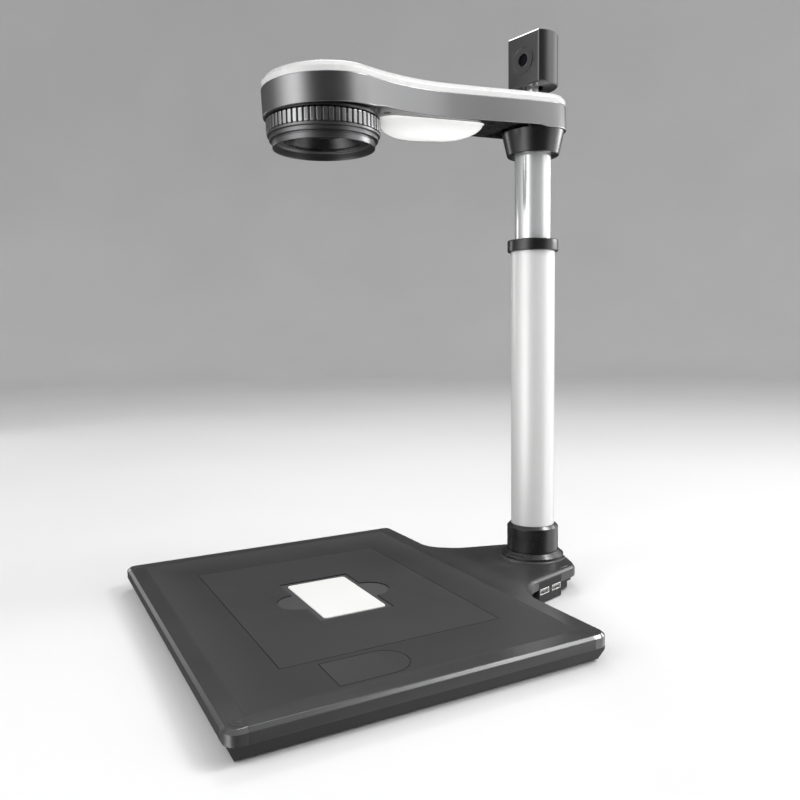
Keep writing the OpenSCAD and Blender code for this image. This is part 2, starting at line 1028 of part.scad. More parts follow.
// Bulged bottom of the lamp: a long barrel cut by a wide one.
module lamp_bulge(inset) {
  rx = lamp_w / 2 + 1.5 - inset;
  ry = (lamp_l * lamp_l / 4 + lamp_d * lamp_d) / (2 * lamp_d) - inset;
  intersection() {
    lamp_prism(inset, plate_z - 30, 30 + plate_t);
    translate([0, lamp_y, plate_z + lamp_w / 2 + 1.5 - lamp_d])
      rotate([90, 0, 0])
        union() {
          cylinder(r = rx, h = 140, center = true);
          translate([-rx, 0, -70])
            cube([2 * rx, 30, 140]);
        }
    translate([0, lamp_y, plate_z - lamp_d + ry + inset])
      rotate([0, 90, 0])
        cylinder(r = ry, h = 80, center = true, $fn = 192);
  }
}

module lamp_diffuser() {
  color([0.97, 0.97, 0.95])
    in_arm()
      difference() {
        union() {
          lamp_bulge(0);
          lamp_prism(-2.7, plate_z + plate_t + GAP, 1.4);
          lamp_prism(0, plate_z - 1, plate_t + 3.2);
        }
        intersection() {
          lamp_bulge(lamp_wall);
          translate([-50, -200, -60])
            cube([100, 200, 60 + plate_z + 1]);
        }
        lamp_prism(lamp_wall, plate_z, 20);
      }
}

module lamp_board() {
  color([0.90, 0.92, 0.90])
    in_arm()
      translate([0.5 - lamp_w / 2, lamp_y - 36, plate_z + plate_t + 2.2])
        cube([lamp_w - 1, 72, 1.6]);
}

module lamp_leds() {
  color([0.98, 0.93, 0.60])
    in_arm()
      for (i = [-4:4], s = [-1, 1])
        translate([s * 5 - 1.4, lamp_y + i * 8 - 1.4, plate_z + plate_t + 1.2])
          cube([2.8, 2.8, 1]);
}

module main_board() {
  color([0.08, 0.32, 0.18])
    in_arm()
      union() {
        translate([-19, front_rib_y - rib_w / 2, rib_top])
          cube([38, rear_rib_y - front_rib_y + rib_w, 1.6]);
        translate([-8, -116, -4.4])
          cube([16, 16, 1.6]);
        translate([-7, -84, -4.4])
          cube([14, 12, 2.4]);
      }
}

// --------------------------------------------------------- camera head

module lens_mount() {
  color([0.10, 0.10, 0.11])
    difference() {
      union() {
        rotate_extrude()
          polygon([
            [barrel_r + FIT, sleeve_foot], [sleeve_foot_r, sleeve_foot],
            [sleeve_foot_r, focus_foot], [sleeve_r, focus_foot],
            [sleeve_r, focus_top + GAP], [collar_out, focus_top + GAP],
            [collar_out, focus_top + 1.6], [mount_r, focus_top + 1.6],
            [mount_r, sensor_z + 10], [barrel_r + FIT, sensor_z + 10]
          ]);
      }
      // The top follows the underside of the arm's ledge
      in_arm()
        translate([-60, head_y - 60, ledge_z - FIT])
          cube([120, 120, 60]);
      // Flat seat of the sensor board
      translate([0, 0, sensor_z])
        cylinder(r = 36.2, h = 20);
      // Window for the focus pin
      for (a = [-63:6:63])
        rotate([0, 0, a])
          translate([25, -2.4, pin_z - pin_r - 0.3])
            cube([20, 4.8, 2 * pin_r + 0.6]);
      in_arm()
        translate([0, head_y, ledge_z - 8])
          at_ring_places(ledge_screw_r)
            cylinder(r = 1.25, h = 20);
    }
}

module mount_screws() {
  color([0.62, 0.63, 0.65])
    in_arm()
      translate([0, head_y, ledge_z])
        at_ring_places(ledge_screw_r) {
          translate([0, 0, -7])
            cylinder(r = 1.2, h = 7 + ledge_t + 0.1);
          translate([0, 0, ledge_t + FIT])
            cylinder(r = 2.2, h = 1.4);
        }
}

module sensor_board() {
  color([0.08, 0.30, 0.35])
    union() {
      translate([0, 0, sensor_z])
        cylinder(r = 36, h = 1.6);
      translate([-10, -10, sensor_z - 1.4])
        cube([20, 20, 1.5]);
    }
}

module focus_ring() {
  color([0.13, 0.13, 0.14])
    difference() {
      union() {
        translate([0, 0, focus_foot])
          cylinder(r = focus_r - 0.6, h = focus_top - focus_foot - 0.6);
        translate([0, 0, focus_foot + 2.1])
          cylinder(r = focus_r, h = focus_top - focus_foot - 2.9);
      }
      for (i = [0:focus_ribs - 1])
        rotate([0, 0, i * 360 / focus_ribs])
          translate([focus_r - 1.3, -0.9, focus_foot + 2.7])
            cube([4, 1.8, 20]);
      translate([0, 0, focus_foot - 1])
        cylinder(r = sleeve_r + FIT, h = 20);
      rotate([0, 90, 0])
        translate([-pin_z, 0, 30])
          cylinder(r = pin_r, h = 14);
    }
}

module focus_pin() {
  color([0.72, 0.72, 0.74])
    rotate([0, 90, 0])
      translate([-pin_z, 0, barrel_r - 1.6])
        cylinder(r = pin_r, h = 44 - barrel_r + 1.6);
}

module lens_hood() {
  color([0.10, 0.10, 0.11])
    rotate_extrude()
      polygon([
        [sleeve_foot_r, focus_foot - GAP], [focus_r - 2.2, focus_foot - GAP],
        [focus_r - 2.2, hood_foot + 5.6], [hood_r - 0.6, hood_foot + 5.2],
        [hood_r - 0.6, hood_foot + 4.2], [hood_r, hood_foot + 4],
        [hood_r - 0.5, hood_foot], [hood_r - 1.5, hood_foot],
        [hood_r - 1.9, sleeve_foot - 1.2], [sleeve_foot_r, sleeve_foot - GAP]
      ]);
}

module lens_barrel() {
  color([0.07, 0.07, 0.08])
    difference() {
      rotate_extrude()
        polygon([
          [glass_r, glass_z], [barrel_r - 4, glass_z - 3.5],
          [barrel_r - 1.35, barrel_foot], [barrel_r, barrel_foot],
          [barrel_r, barrel_top - 1], [barrel_r - 6, barrel_top], [14, barrel_top],
          [14, glass_z + 4.5], [glass_r, glass_z + 4.5]
        ]);
      // Helical groove of the focus pin
      for (a = [-64:4:64])
        rotate([0, 0, a])
          translate([barrel_r - 2, -1.4, pin_z - pin_pitch * a / 360 - pin_r - 0.2])
            cube([4, 2.8, 2 * pin_r + 0.4]);
    }
}

module lens_front_glass() {
  color([0.30, 0.36, 0.45])
    intersection() {
      translate([0, 0, glass_z])
        cylinder(r = glass_r, h = 4.4);
      translate([0, 0, glass_z + 80])
        sphere(r = 80, $fn = 128);
    }
}

module lens_rear_glass() {
  color([0.35, 0.42, 0.50])
    translate([0, 0, glass_z + 5])
      cylinder(r = 14, h = 3);
}

// -------------------------------------------------------- front camera

module aux_mount() {
  color([0.12, 0.12, 0.13])
    difference() {
      union() {
        difference() {
          at_column(arm_z + cover_h - 2)
            cylinder(r = 12, h = aux_mount_top - arm_z - cover_h + 2);
          in_arm()
            translate([-20, -20, 0])
              cube([40, 40, cover_h + FIT]);
        }
        at_column(arm_z - 1)
          cylinder(r = 9 - GAP, h = aux_mount_top - arm_z + 1);
      }
      at_column(arm_z - 5)
        cylinder(r = aux_stem_r + FIT, h = 40);
    }
}

module aux_stem() {
  color([0.75, 0.76, 0.78])
    in_aux(0)
      difference() {
        union() {
          translate([0, 0, arm_z - 5])
            cylinder(r = aux_stem_r, h = aux_z - 0.4 - arm_z + 5);
          translate([0, 0, aux_mount_top + FIT])
            cylinder(r = 8, h = 1.4);
          translate([-3, -4.5, aux_z - 1])
            cube([6, 9, aux_axis_z - aux_z + 1]);
          translate([-3, 0, aux_axis_z])
            rotate([0, 90, 0])
              cylinder(r = 4.5, h = 6);
        }
        translate([-10, 0, aux_axis_z])
          rotate([0, 90, 0])
            cylinder(r = 1.5 + FIT, h = 20);
        translate([0, 0, arm_z - 2.3])
          ring(8, aux_stem_r - 0.8, 1.2);
      }
}

module aux_clip() {
  color([0.70, 0.71, 0.72])
    in_aux(arm_z - 2.2)
      difference() {
        cylinder(r = 7.5, h = 1);
        translate([0, 0, -1])
          cylinder(r = aux_stem_r - 0.75, h = 3);
      }
}

module aux_tilt_pin() {
  color([0.70, 0.71, 0.72])
    in_aux(aux_axis_z)
      rotate([0, 90, 0])
        cylinder(r = 1.5, h = 18, center = true);
}

// Round housing with a flat face, drawn in by inset.
module aux_block(inset) {
  r = aux_r - inset;
  z0 = aux_z + inset;
  z1 = aux_z + aux_h - inset;
  intersection() {
    rotate_extrude()
      polygon([[0, z0], [r - 1, z0], [r, z0 + 1], [r, z1 - 1], [r - 1, z1], [0, z1]]);
    translate([-r, -aux_face, z0 - 1])
      cube([2 * r, aux_face + r, z1 - z0 + 2]);
  }
}

// Space in front of the joint between the two shells.
module aux_front_zone() {
  translate([-50, -50, aux_z - 10])
    cube([100, 50 - aux_face + aux_front_t, aux_h + 20]);
}

// Mouth for the stem, wide enough for the tilt.
module aux_mouth() {
  translate([-3.4, -9.9, aux_z - 1])
    cube([6.8, 19.8, 15]);
  translate([0, 0, aux_z - 1])
    cylinder(r = 9.9, h = 1 + aux_wall + 0.1);
}

module aux_back_shell() {
  color([0.20, 0.20, 0.21])
    in_aux(0)
      difference() {
        aux_block(0);
        aux_front_zone();
        difference() {
          aux_block(aux_wall);
          // Two cheeks that hold the tilt pin
          for (s = [-1, 1])
            translate([s * 9 - 5.5, -5, aux_z])
              cube([11, 10, 13]);
        }
        aux_mouth();
        in_pin_bore();
      }
}

module in_pin_bore() {
  translate([0, 0, aux_axis_z])
    rotate([0, 90, 0])
      cylinder(r = 1.5, h = 18, center = true);
}

module aux_front_shell() {
  edge = aux_half - 0.9;
  back = 8;
  reach = back + aux_face + aux_h / 2 - aux_chamfer;
  color([0.22, 0.22, 0.23])
    in_aux(0)
      difference() {
        intersection() {
          aux_block(0);
          aux_front_zone();
          // Narrow chamfers on the face's two upright edges
          translate([0, 0, aux_z - 1])
            linear_extrude(height = aux_h + 2)
              polygon([
                [edge, -aux_face], [edge + 5.4, -aux_face + 2.7], [40, 0],
                [-40, 0], [-edge - 5.4, -aux_face + 2.7], [-edge, -aux_face]
              ]);
          // Chamfers on its top and bottom edges
          translate([0, back, aux_z + aux_h / 2])
            rotate([45, 0, 0])
              cube([60, reach * sqrt(2), reach * sqrt(2)], center = true);
        }
        intersection() {
          aux_block(aux_wall);
          translate([-30, -aux_face + 2.4, aux_z])
            cube([60, 20, aux_h]);
        }
        aux_mouth();
        translate([0, 0, aux_lens_z])
          rotate([90, 0, 0])
            cylinder(r = 10, h = 40);
        // Microphone hole beside the lens
        translate([12.9, 0, aux_lens_z - 2.6])
          rotate([90, 0, 0])
            cylinder(r = 0.6, h = 40);
      }
}

module aux_lens_ring() {
  f = aux_face;
  color([0.09, 0.09, 0.10])
    in_aux(aux_lens_z)
      rotate([90, 0, 0])
        rotate_extrude()
          polygon([
            [5, f - 7], [9.9, f - 7], [9.9, f], [11.7, f], [11.7, f + 0.5], [11.4, f + 0.8],
            [11, f + 0.5], [10.8, f + 0.2], [6.2, f + 0.2], [5.9, f + 0.6], [5.5, f + 0.5],
            [5, f - 1.2]
          ]);
}

module aux_lens_glass() {
  color([0.05, 0.06, 0.10])
    in_aux(aux_lens_z)
      rotate([90, 0, 0])
        translate([0, 0, aux_face - 6])
          cylinder(r = 5, h = 4);
}

module aux_board() {
  color([0.08, 0.30, 0.35])
    in_aux(0)
      translate([-17, -aux_face + 8, aux_z + 14])
        cube([34, 1.6, aux_h - 16.5]);
}

base_top_cover();
base_bottom_cover();
ballast_plate();
document_mat();
corner_caps();
rubber_feet();
base_screws();
port_panel();
usb_shells();
usb_tongues();
hub_board();
uplink_socket();
sample_card();
column_flange();
seat_plate();
swivel_spindle();
spindle_nut();
spindle_washer();
swivel_bush();
swivel_collar();
outer_tube();
end_ring();
guide_bush();
inner_tube();
slider_bush();
slide_key();
arm_socket();
socket_screws();
arm_side_frame();
arm_top_cover();
arm_bottom_cover();
cover_screws();
lamp_diffuser();
lamp_board();
lamp_leds();
main_board();
lens_mount();
mount_screws();
sensor_board();
focus_ring();
focus_pin();
lens_hood();
lens_barrel();
lens_front_glass();
lens_rear_glass();
aux_mount();
aux_stem();
aux_clip();
aux_tilt_pin();
aux_back_shell();
aux_front_shell();
aux_lens_ring();
aux_lens_glass();
aux_board();
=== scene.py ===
import json
import math

import bmesh
import bpy
from mathutils import Matrix, Vector
from mathutils.geometry import delaunay_2d_cdt


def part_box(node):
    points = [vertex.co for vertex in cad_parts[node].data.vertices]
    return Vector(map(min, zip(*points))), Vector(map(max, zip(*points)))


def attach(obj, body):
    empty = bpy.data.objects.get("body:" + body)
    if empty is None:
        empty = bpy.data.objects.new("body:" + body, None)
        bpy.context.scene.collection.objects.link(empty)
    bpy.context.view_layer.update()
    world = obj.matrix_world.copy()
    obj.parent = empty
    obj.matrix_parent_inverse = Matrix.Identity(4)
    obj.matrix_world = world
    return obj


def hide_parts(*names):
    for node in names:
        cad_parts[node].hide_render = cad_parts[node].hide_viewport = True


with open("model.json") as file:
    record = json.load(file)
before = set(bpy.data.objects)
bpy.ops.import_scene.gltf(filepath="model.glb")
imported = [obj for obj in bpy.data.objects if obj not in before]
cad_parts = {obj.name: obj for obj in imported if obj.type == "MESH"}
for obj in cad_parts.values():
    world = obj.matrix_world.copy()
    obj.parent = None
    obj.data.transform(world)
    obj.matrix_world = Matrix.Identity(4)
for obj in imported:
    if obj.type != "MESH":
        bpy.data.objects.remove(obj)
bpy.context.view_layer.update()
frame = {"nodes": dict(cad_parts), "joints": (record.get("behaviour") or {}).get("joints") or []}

MM = 0.001
node = frame["nodes"]

# ---------------------------------------------------------------- sizes
# Millimetres, in the object's frame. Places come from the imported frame.


def low(name):
    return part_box(name)[0] / MM


def high(name):
    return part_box(name)[1] / MM


def joint_place(name):
    for j in frame["joints"]:
        if j["name"] == name:
            return Vector(j["pos_m"]) / MM


# The board
HALF_L = high("base_top_cover").x
HALF_W = -low("base_top_cover").y
BAND_Z = low("base_top_cover").z  # underside of the side band
BOARD_TOP = high("document_mat").z
CORNER_R = 9.0
CAP = 14.0  # size of a corner cap
MAT_X = high("document_mat").x
MAT_Y = high("document_mat").y
MAT_FLOOR = low("document_mat").z

# The neck behind the board, and the column's seat on it
COLUMN = joint_place("column_swivel")
NECK_END = high("base_top_cover").y
NECK_TOP = 23.4
NECK_HALF = 49.0  # half width at the column's axis
NECK_CORNER = 12.0
TAPER = math.radians(15.7)  # by which each side closes toward the back
END_R = 73.0  # radius of the back end
FILLET_R = 38.0  # between the board and the neck
BAY = (-40.9, -7.1)  # the port bay's ends along the neck's side, from the column's axis
BAY_TOP = high("port_panel").z
SEAT_TOP = low("column_flange").z
FLANGE_R = high("column_flange").x
SKIRT_R, SKIRT_RUN = FLANGE_R + 19.0, 15.0  # where the cover starts to swell, and over how far
STEP_R, STEP_RUN = FLANGE_R + 3.4, 2.2  # where it starts to step up to the flange, and over how far

# The arm, in its own frame: the origin is where its parting line meets the
# column's axis, and it runs along -Y
SLOPE = math.radians(2.5)
ARM_Z = 443.5
ARM = Matrix.Translation(Vector((0, COLUMN.y, ARM_Z)) * MM) @ Matrix.Rotation(SLOPE, 4, "X")
BAND_H = 20.0
COVER_H = 8.8
HEAD_R = high("arm_side_frame").x
REAR_R = 29.6
WAIST = 26.0  # half width at the waist
WAIST_Y = -105.0
SHOULDER = 20.0  # from the head's centre back to where its circle ends
LIP_D = 1.6  # depth of the band's lip round the head and the rear end
PLATE_Z = -18.5  # face of the bottom plate
LAMP_Y = -110.0
LAMP_HALF = (12.0, 51.0)
LAMP_DEPTH = 15.0
LAMP_SQUARENESS = 2.7  # 2 is an ellipse, more is squarer
LAMP_SIDES = 96

# The focus ring
FOCUS_FOOT = low("focus_ring").z
FOCUS_TOP = high("focus_ring").z
FOCUS_R = high("focus_ring").x
FOCUS_BORE = 40.06
RIBS = 60


# ------------------------------------------------------------ materials


def shader(name):
    m = bpy.data.materials.new(name)
    m.use_nodes = True
    t = m.node_tree
    return m, t, t.nodes["Principled BSDF"]


def link(t, a, b):
    t.links.new(a, b)


def coords(t, scale=(1, 1, 1)):
    c = t.nodes.new("ShaderNodeTexCoord")
    m = t.nodes.new("ShaderNodeMapping")
    m.inputs["Scale"].default_value = scale
    link(t, c.outputs["Object"], m.inputs["Vector"])
    return m.outputs["Vector"]


def noise(t, vec, scale, detail=3.0, rough=0.5):
    n = t.nodes.new("ShaderNodeTexNoise")
    n.inputs["Scale"].default_value = scale
    n.inputs["Detail"].default_value = detail
    n.inputs["Roughness"].default_value = rough
    link(t, vec, n.inputs["Vector"])
    return n.outputs["Fac"]


def remap(t, fac, a, b):
    r = t.nodes.new("ShaderNodeMapRange")
    r.inputs["To Min"].default_value = a
    r.inputs["To Max"].default_value = b
    link(t, fac, r.inputs["Value"])
    return r.outputs["Result"]


def tint(t, fac, dark, light):
    r = t.nodes.new("ShaderNodeValToRGB")
    r.color_ramp.elements[0].position = 0.3
    r.color_ramp.elements[0].color = (*dark, 1)
    r.color_ramp.elements[1].position = 0.7
    r.color_ramp.elements[1].color = (*light, 1)
    link(t, fac, r.inputs["Fac"])
    return r.outputs["Color"]


def edge_wear(t, color, worn, amount):
    """Corners rub lighter: the geometry's own pointiness lifts the colour."""
    g = t.nodes.new("ShaderNodeNewGeometry")
    r = t.nodes.new("ShaderNodeMapRange")
    r.inputs["From Min"].default_value = 0.52
    r.inputs["From Max"].default_value = 0.66
    r.inputs["To Min"].default_value = 0
    r.inputs["To Max"].default_value = amount
    link(t, g.outputs["Pointiness"], r.inputs["Value"])
    m = t.nodes.new("ShaderNodeMix")
    m.data_type = "RGBA"
    link(t, r.outputs["Result"], m.inputs["Factor"])
    link(t, color, m.inputs["A"])
    m.inputs["B"].default_value = (*worn, 1)
    return m.outputs["Result"]


def bump(t, bsdf, height, strength, distance):
    b = t.nodes.new("ShaderNodeBump")
    b.inputs["Strength"].default_value = strength
    b.inputs["Distance"].default_value = distance
    link(t, height, b.inputs["Height"])
    link(t, b.outputs["Normal"], bsdf.inputs["Normal"])


def moulded(name, color, rough=0.45, grain=2200, depth=0.00004, strength=0.25, spread=0.12,
            coat=0.0, gloss=0.5):
    """A plastic with a fine grain in its surface and a slow drift in its colour."""
    m, t, b = shader(name)
    b.inputs["Specular IOR Level"].default_value = gloss
    vec = coords(t)
    cloud = noise(t, vec, 22, 4, 0.55)
    fine = noise(t, vec, grain, 2, 0.5)
    dark = [c * (1 - spread) for c in color]
    light = [min(1, c * (1 + spread)) for c in color]
    col = tint(t, cloud, dark, light)
    if max(color) < 0.5:
        col = edge_wear(t, col, [min(1, c * 1.8 + 0.02) for c in color], 0.5)
    link(t, col, b.inputs["Base Color"])
    link(t, remap(t, cloud, rough - 0.05, rough + 0.06), b.inputs["Roughness"])
    b.inputs["Coat Weight"].default_value = coat
    b.inputs["Coat Roughness"].default_value = 0.12
    bump(t, b, fine, strength, depth)
    return m


def metal(name, color, rough, stretch=(1, 1, 1), grain=600, spread=0.05, depth=0.00001,
          strength=0.15, aniso=0.0, metallic=1.0):
    """A metal with fine lines, drawn out where the piece is brushed."""
    m, t, b = shader(name)
    b.inputs["Metallic"].default_value = metallic
    line = noise(t, coords(t, stretch), grain, 3, 0.6)
    cloud = noise(t, coords(t), 14, 3, 0.5)
    col = tint(t, line, [c * (1 - spread) for c in color], [min(1, c * (1 + spread)) for c in color])
    col = edge_wear(t, col, [min(1, c * 1.3 + 0.03) for c in color], 0.4)
    link(t, col, b.inputs["Base Color"])
    link(t, remap(t, cloud, rough * 0.85, rough * 1.18), b.inputs["Roughness"])
    b.inputs["Anisotropic"].default_value = aniso
    bump(t, b, line, strength, depth)
    return m


def glowing(name):
    m, t, b = shader(name)
    vec = coords(t)
    cloud = noise(t, vec, 30, 3, 0.5)
    link(t, tint(t, cloud, (0.86, 0.86, 0.85), (0.93, 0.93, 0.92)), b.inputs["Base Color"])
    link(t, remap(t, cloud, 0.22, 0.32), b.inputs["Roughness"])
    b.inputs["Emission Color"].default_value = (1, 1, 0.98, 1)
    b.inputs["Emission Strength"].default_value = 0.36
    bump(t, b, noise(t, vec, 1600, 2, 0.5), 0.1, 0.00002)
    return m


def lens(name, color, coat=1.0):
    m, t, b = shader(name)
    cloud = noise(t, coords(t), 40, 3, 0.5)
    link(t, tint(t, cloud, [c * 0.7 for c in color], color), b.inputs["Base Color"])
    link(t, remap(t, cloud, 0.03, 0.07), b.inputs["Roughness"])
    b.inputs["Coat Weight"].default_value = coat
    b.inputs["Specular IOR Level"].default_value = 0.5 * coat
    b.inputs["Coat Tint"].default_value = (0.75, 0.70, 1.0, 1)
    b.inputs["Coat Roughness"].default_value = 0.02
    bump(t, b, noise(t, coords(t), 900, 2, 0.5), 0.03, 0.00001)
    return m


MATERIALS = {
    # The mat's material also gets painted shade in its grooves and painted light on its recess's floor,
    # added further down
    "mat": moulded("mat_grain_and_painted_shading", (0.031, 0.031, 0.0322), 0.55, 1700, 0.00006, 0.30, 0.08, gloss=0.32),
    "board": moulded("board_plastic", (0.040, 0.040, 0.0415), 0.31, 2200, 0.00004, 0.20, 0.07,
                     gloss=0.6),
    "under": moulded("under_plastic", (0.008, 0.008, 0.0085), 0.50, 1200, 0.00006, 0.30, gloss=0.4),
    "rubber": moulded("foot_rubber", (0.018, 0.018, 0.018), 0.75, 900, 0.00008, 0.4),
    "black": moulded("black_plastic", (0.014, 0.014, 0.015), 0.27, 2400, 0.00003, 0.15, 0.08, 0.3,
                     gloss=0.8),
    "aux": moulded("aux_plastic", (0.018, 0.018, 0.019), 0.24, 2400, 0.00003, 0.15, 0.07, 0.8,
                   gloss=1.0),
    "cap": moulded("cap_plastic", (0.044, 0.044, 0.046), 0.22, 2200, 0.00003, 0.15, 0.07, 0.6,
                   gloss=1.0),
    "port": moulded("port_plastic", (0.018, 0.018, 0.019), 0.48, 1600, 0.00004, 0.2, 0.08, gloss=0.3),
    "white": moulded("cover_white", (0.71, 0.71, 0.705), 0.27, 1500, 0.00002, 0.08, 0.02, 0.4),
    "nylon": moulded("nylon_white", (0.70, 0.70, 0.66), 0.45, 900, 0.00005, 0.3, 0.04),
    "card": moulded("card_stock", (0.83, 0.83, 0.815), 0.38, 1400, 0.00003, 0.12, 0.015),
    "board_pcb": moulded("circuit_lacquer", (0.02, 0.11, 0.055), 0.30, 700, 0.00006, 0.3, 0.25),
    "bronze": moulded("bush_bronze", (0.42, 0.27, 0.11), 0.42, 1300, 0.00005, 0.3, 0.15),
    "tube": metal("tube_satin", (0.88, 0.88, 0.875), 0.36, (9, 9, 0.35), 420, 0.02, 0.00001, 0.10,
                  0.2, 0.30),
    "chrome": metal("tube_chrome", (0.90, 0.91, 0.92), 0.12, (6, 6, 0.3), 300, 0.02, 0.000005, 0.05,
                    0.0, 0.55),
    "band": metal("band_satin", (0.33, 0.33, 0.335), 0.25, (0.4, 0.4, 6), 900, 0.04, 0.00001, 0.10,
                  0.2, 0.92),
    "anodised": metal("anodised_dark", (0.20, 0.20, 0.205), 0.30, (1, 1, 9), 500, 0.08, 0.00001, 0.15,
                      0.2, 0.9),
    "knurl": metal("knurl_dark", (0.42, 0.42, 0.425), 0.23, (1, 1, 1), 1200, 0.10, 0.00002, 0.15,
                   0.0, 0.92),
    "nickel": metal("bright_nickel", (0.88, 0.88, 0.87), 0.20, (1, 1, 1), 700, 0.03, 0.00001, 0.1,
                    0.0, 0.7),
    "zinc": metal("plated_steel", (0.50, 0.51, 0.53), 0.34, (1, 1, 1), 500, 0.10, 0.00002, 0.2),
    "lamp": glowing("lamp_white"),
    "lens": lens("lens_coated", (0.010, 0.012, 0.022)),
    "pupil": lens("lens_small", (0.006, 0.006, 0.008), 0.12),
}


def painted_shade_and_light_by_depth(m):
    """Painted shade darkens the grooves in the mat and painted light makes the recess's floor paler, both
    set by height.
    """
    t = m.node_tree
    b = t.nodes["Principled BSDF"]
    old = b.inputs["Base Color"].links[0].from_socket
    c = t.nodes.new("ShaderNodeTexCoord")
    xyz = t.nodes.new("ShaderNodeSeparateXYZ")
    link(t, c.outputs["Object"], xyz.inputs["Vector"])
    z = t.nodes.new("ShaderNodeMapRange")
    z.inputs["From Min"].default_value = (BOARD_TOP - 1.0) * MM
    z.inputs["From Max"].default_value = BOARD_TOP * MM
    link(t, xyz.outputs["Z"], z.inputs["Value"])
    ramp = t.nodes.new("ShaderNodeValToRGB")
    # Painted light (1.9) on the recess's floor, painted shade (0.08) in the grooves, the top face as it is
    # (1.0)
    steps = ((0.0, 1.9), (0.20, 1.9), (0.35, 0.08), (0.66, 0.08), (0.85, 1.0))
    for k, (at, grey) in enumerate(steps):
        e = ramp.color_ramp.elements[k] if k < 2 else ramp.color_ramp.elements.new(at)
        e.position = at
        e.color = (grey, grey, grey, 1)
    link(t, z.outputs["Result"], ramp.inputs["Fac"])
    mix = t.nodes.new("ShaderNodeMix")
    mix.data_type = "RGBA"
    mix.blend_type = "MULTIPLY"
    mix.inputs["Factor"].default_value = 1.0
    link(t, old, mix.inputs["A"])
    link(t, ramp.outputs["Color"], mix.inputs["B"])
    link(t, mix.outputs["Result"], b.inputs["Base Color"])


# The mat's colour gets painted shade in its grooves and painted light on its recess's floor
painted_shade_and_light_by_depth(MATERIALS["mat"])


# -------------------------------------------------------- mesh utilities


def crease_by_angle(bm, angle):
    for e in bm.edges:
        e.smooth = not (len(e.link_faces) == 2 and e.calc_face_angle(0) > angle)
    for f in bm.faces:
        f.smooth = True


def piece(name, bm, body, material, angle=35.0, matrix=None, flat=False):
    """Turns a bmesh in millimetres into a named piece that rides on a body."""
    bmesh.ops.remove_doubles(bm, verts=bm.verts, dist=1e-4)
    bmesh.ops.recalc_face_normals(bm, faces=bm.faces)
    bmesh.ops.scale(bm, vec=(MM, MM, MM), verts=bm.verts)
    if matrix is not None:
        bm.transform(matrix)
    crease_by_angle(bm, math.radians(angle))
    me = bpy.data.meshes.new(name)
    bm.to_mesh(me)
    bm.free()
    me.materials.append(material)
    ob = bpy.data.objects.new(name, me)
    bpy.context.scene.collection.objects.link(ob)
    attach(ob, body)
    if flat:
        w = ob.modifiers.new("normals", "WEIGHTED_NORMAL")
        w.keep_sharp = True
    return ob


def dress(name, material, width, angle):
    """A CAD node keeps its shape and gets a material and softened edges."""
    ob = node[name]
    ob.data.materials.clear()
    ob.data.materials.append(material)
    for p in ob.data.polygons:
        p.use_smooth = True
        p.material_index = 0
    w = ob.modifiers.new("weld", "WELD")
    w.merge_threshold = 0.000002
    if width > 0:
        b = ob.modifiers.new("soft_edges", "BEVEL")
        b.width = width * MM
        b.segments = 2
        b.limit_method = "ANGLE"
        b.angle_limit = math.radians(angle)
        b.use_clamp_overlap = True
        b.harden_normals = False
    s = ob.modifiers.new("normals", "WEIGHTED_NORMAL")
    s.keep_sharp = True


def arc(cx, cy, r, a0, a1, n):
    """Points on a circle from angle a0 to a1 in degrees, in n steps."""
    return [(cx + r * math.cos(math.radians(a0 + (a1 - a0) * i / n)),
             cy + r * math.sin(math.radians(a0 + (a1 - a0) * i / n))) for i in range(n + 1)]


def smooth(t):
    """Rises from 0 to 1 with level ends."""
    t = min(1.0, max(0.0, t))
    return t * t * (3 - 2 * t)


def bridge(bm, a, b):
    """Joins two closed rows of vertices with faces."""
    n = len(a)
    for i in range(n):
        j = (i + 1) % n
        if a[i] is b[i]:
            bm.faces.new((a[i], a[j], b[j]))
        else:
            bm.faces.new((a[i], a[j], b[j], b[i]))


def lathe(bm, profile, n, closed=True):
    """Revolves (r, z) points round the vertical axis, in n steps."""
    rings = []
    for r, z in profile:
        rings.append([bm.verts.new((r * math.cos(2 * math.pi * i / n), r * math.sin(2 * math.pi * i / n), z))
                      for i in range(n)])
    for a, b in zip(rings, rings[1:]):
        bridge(bm, a, b)
    if closed:
        bridge(bm, rings[-1], rings[0])
    return rings


def inside(p, poly):
    """Whether a point is inside a polygon, by counting the sides it has to its right."""
    odd = False
    j = len(poly) - 1
    for i in range(len(poly)):
        a, b = poly[i], poly[j]
        if (a.y > p.y) != (b.y > p.y) and p.x < (b.x - a.x) * (p.y - a.y) / (b.y - a.y) + a.x:
            odd = not odd
        j = i
    return odd


def clear_of(p, poly, gap):
    return min((p - q).length for q in poly) > gap


# ------------------------------------------------------- board and neck

# The neck's right side: its outward normal, its direction, a point on it, its
# distance from the origin, and the centre of the round back end
SIDE_N = Vector((math.cos(TAPER), math.sin(TAPER)))
SIDE_T = Vector((-math.sin(TAPER), math.cos(TAPER)))
SIDE_REF = Vector((NECK_HALF, COLUMN.y))
SIDE_D = SIDE_N.dot(SIDE_REF)
END_C = NECK_END - END_R


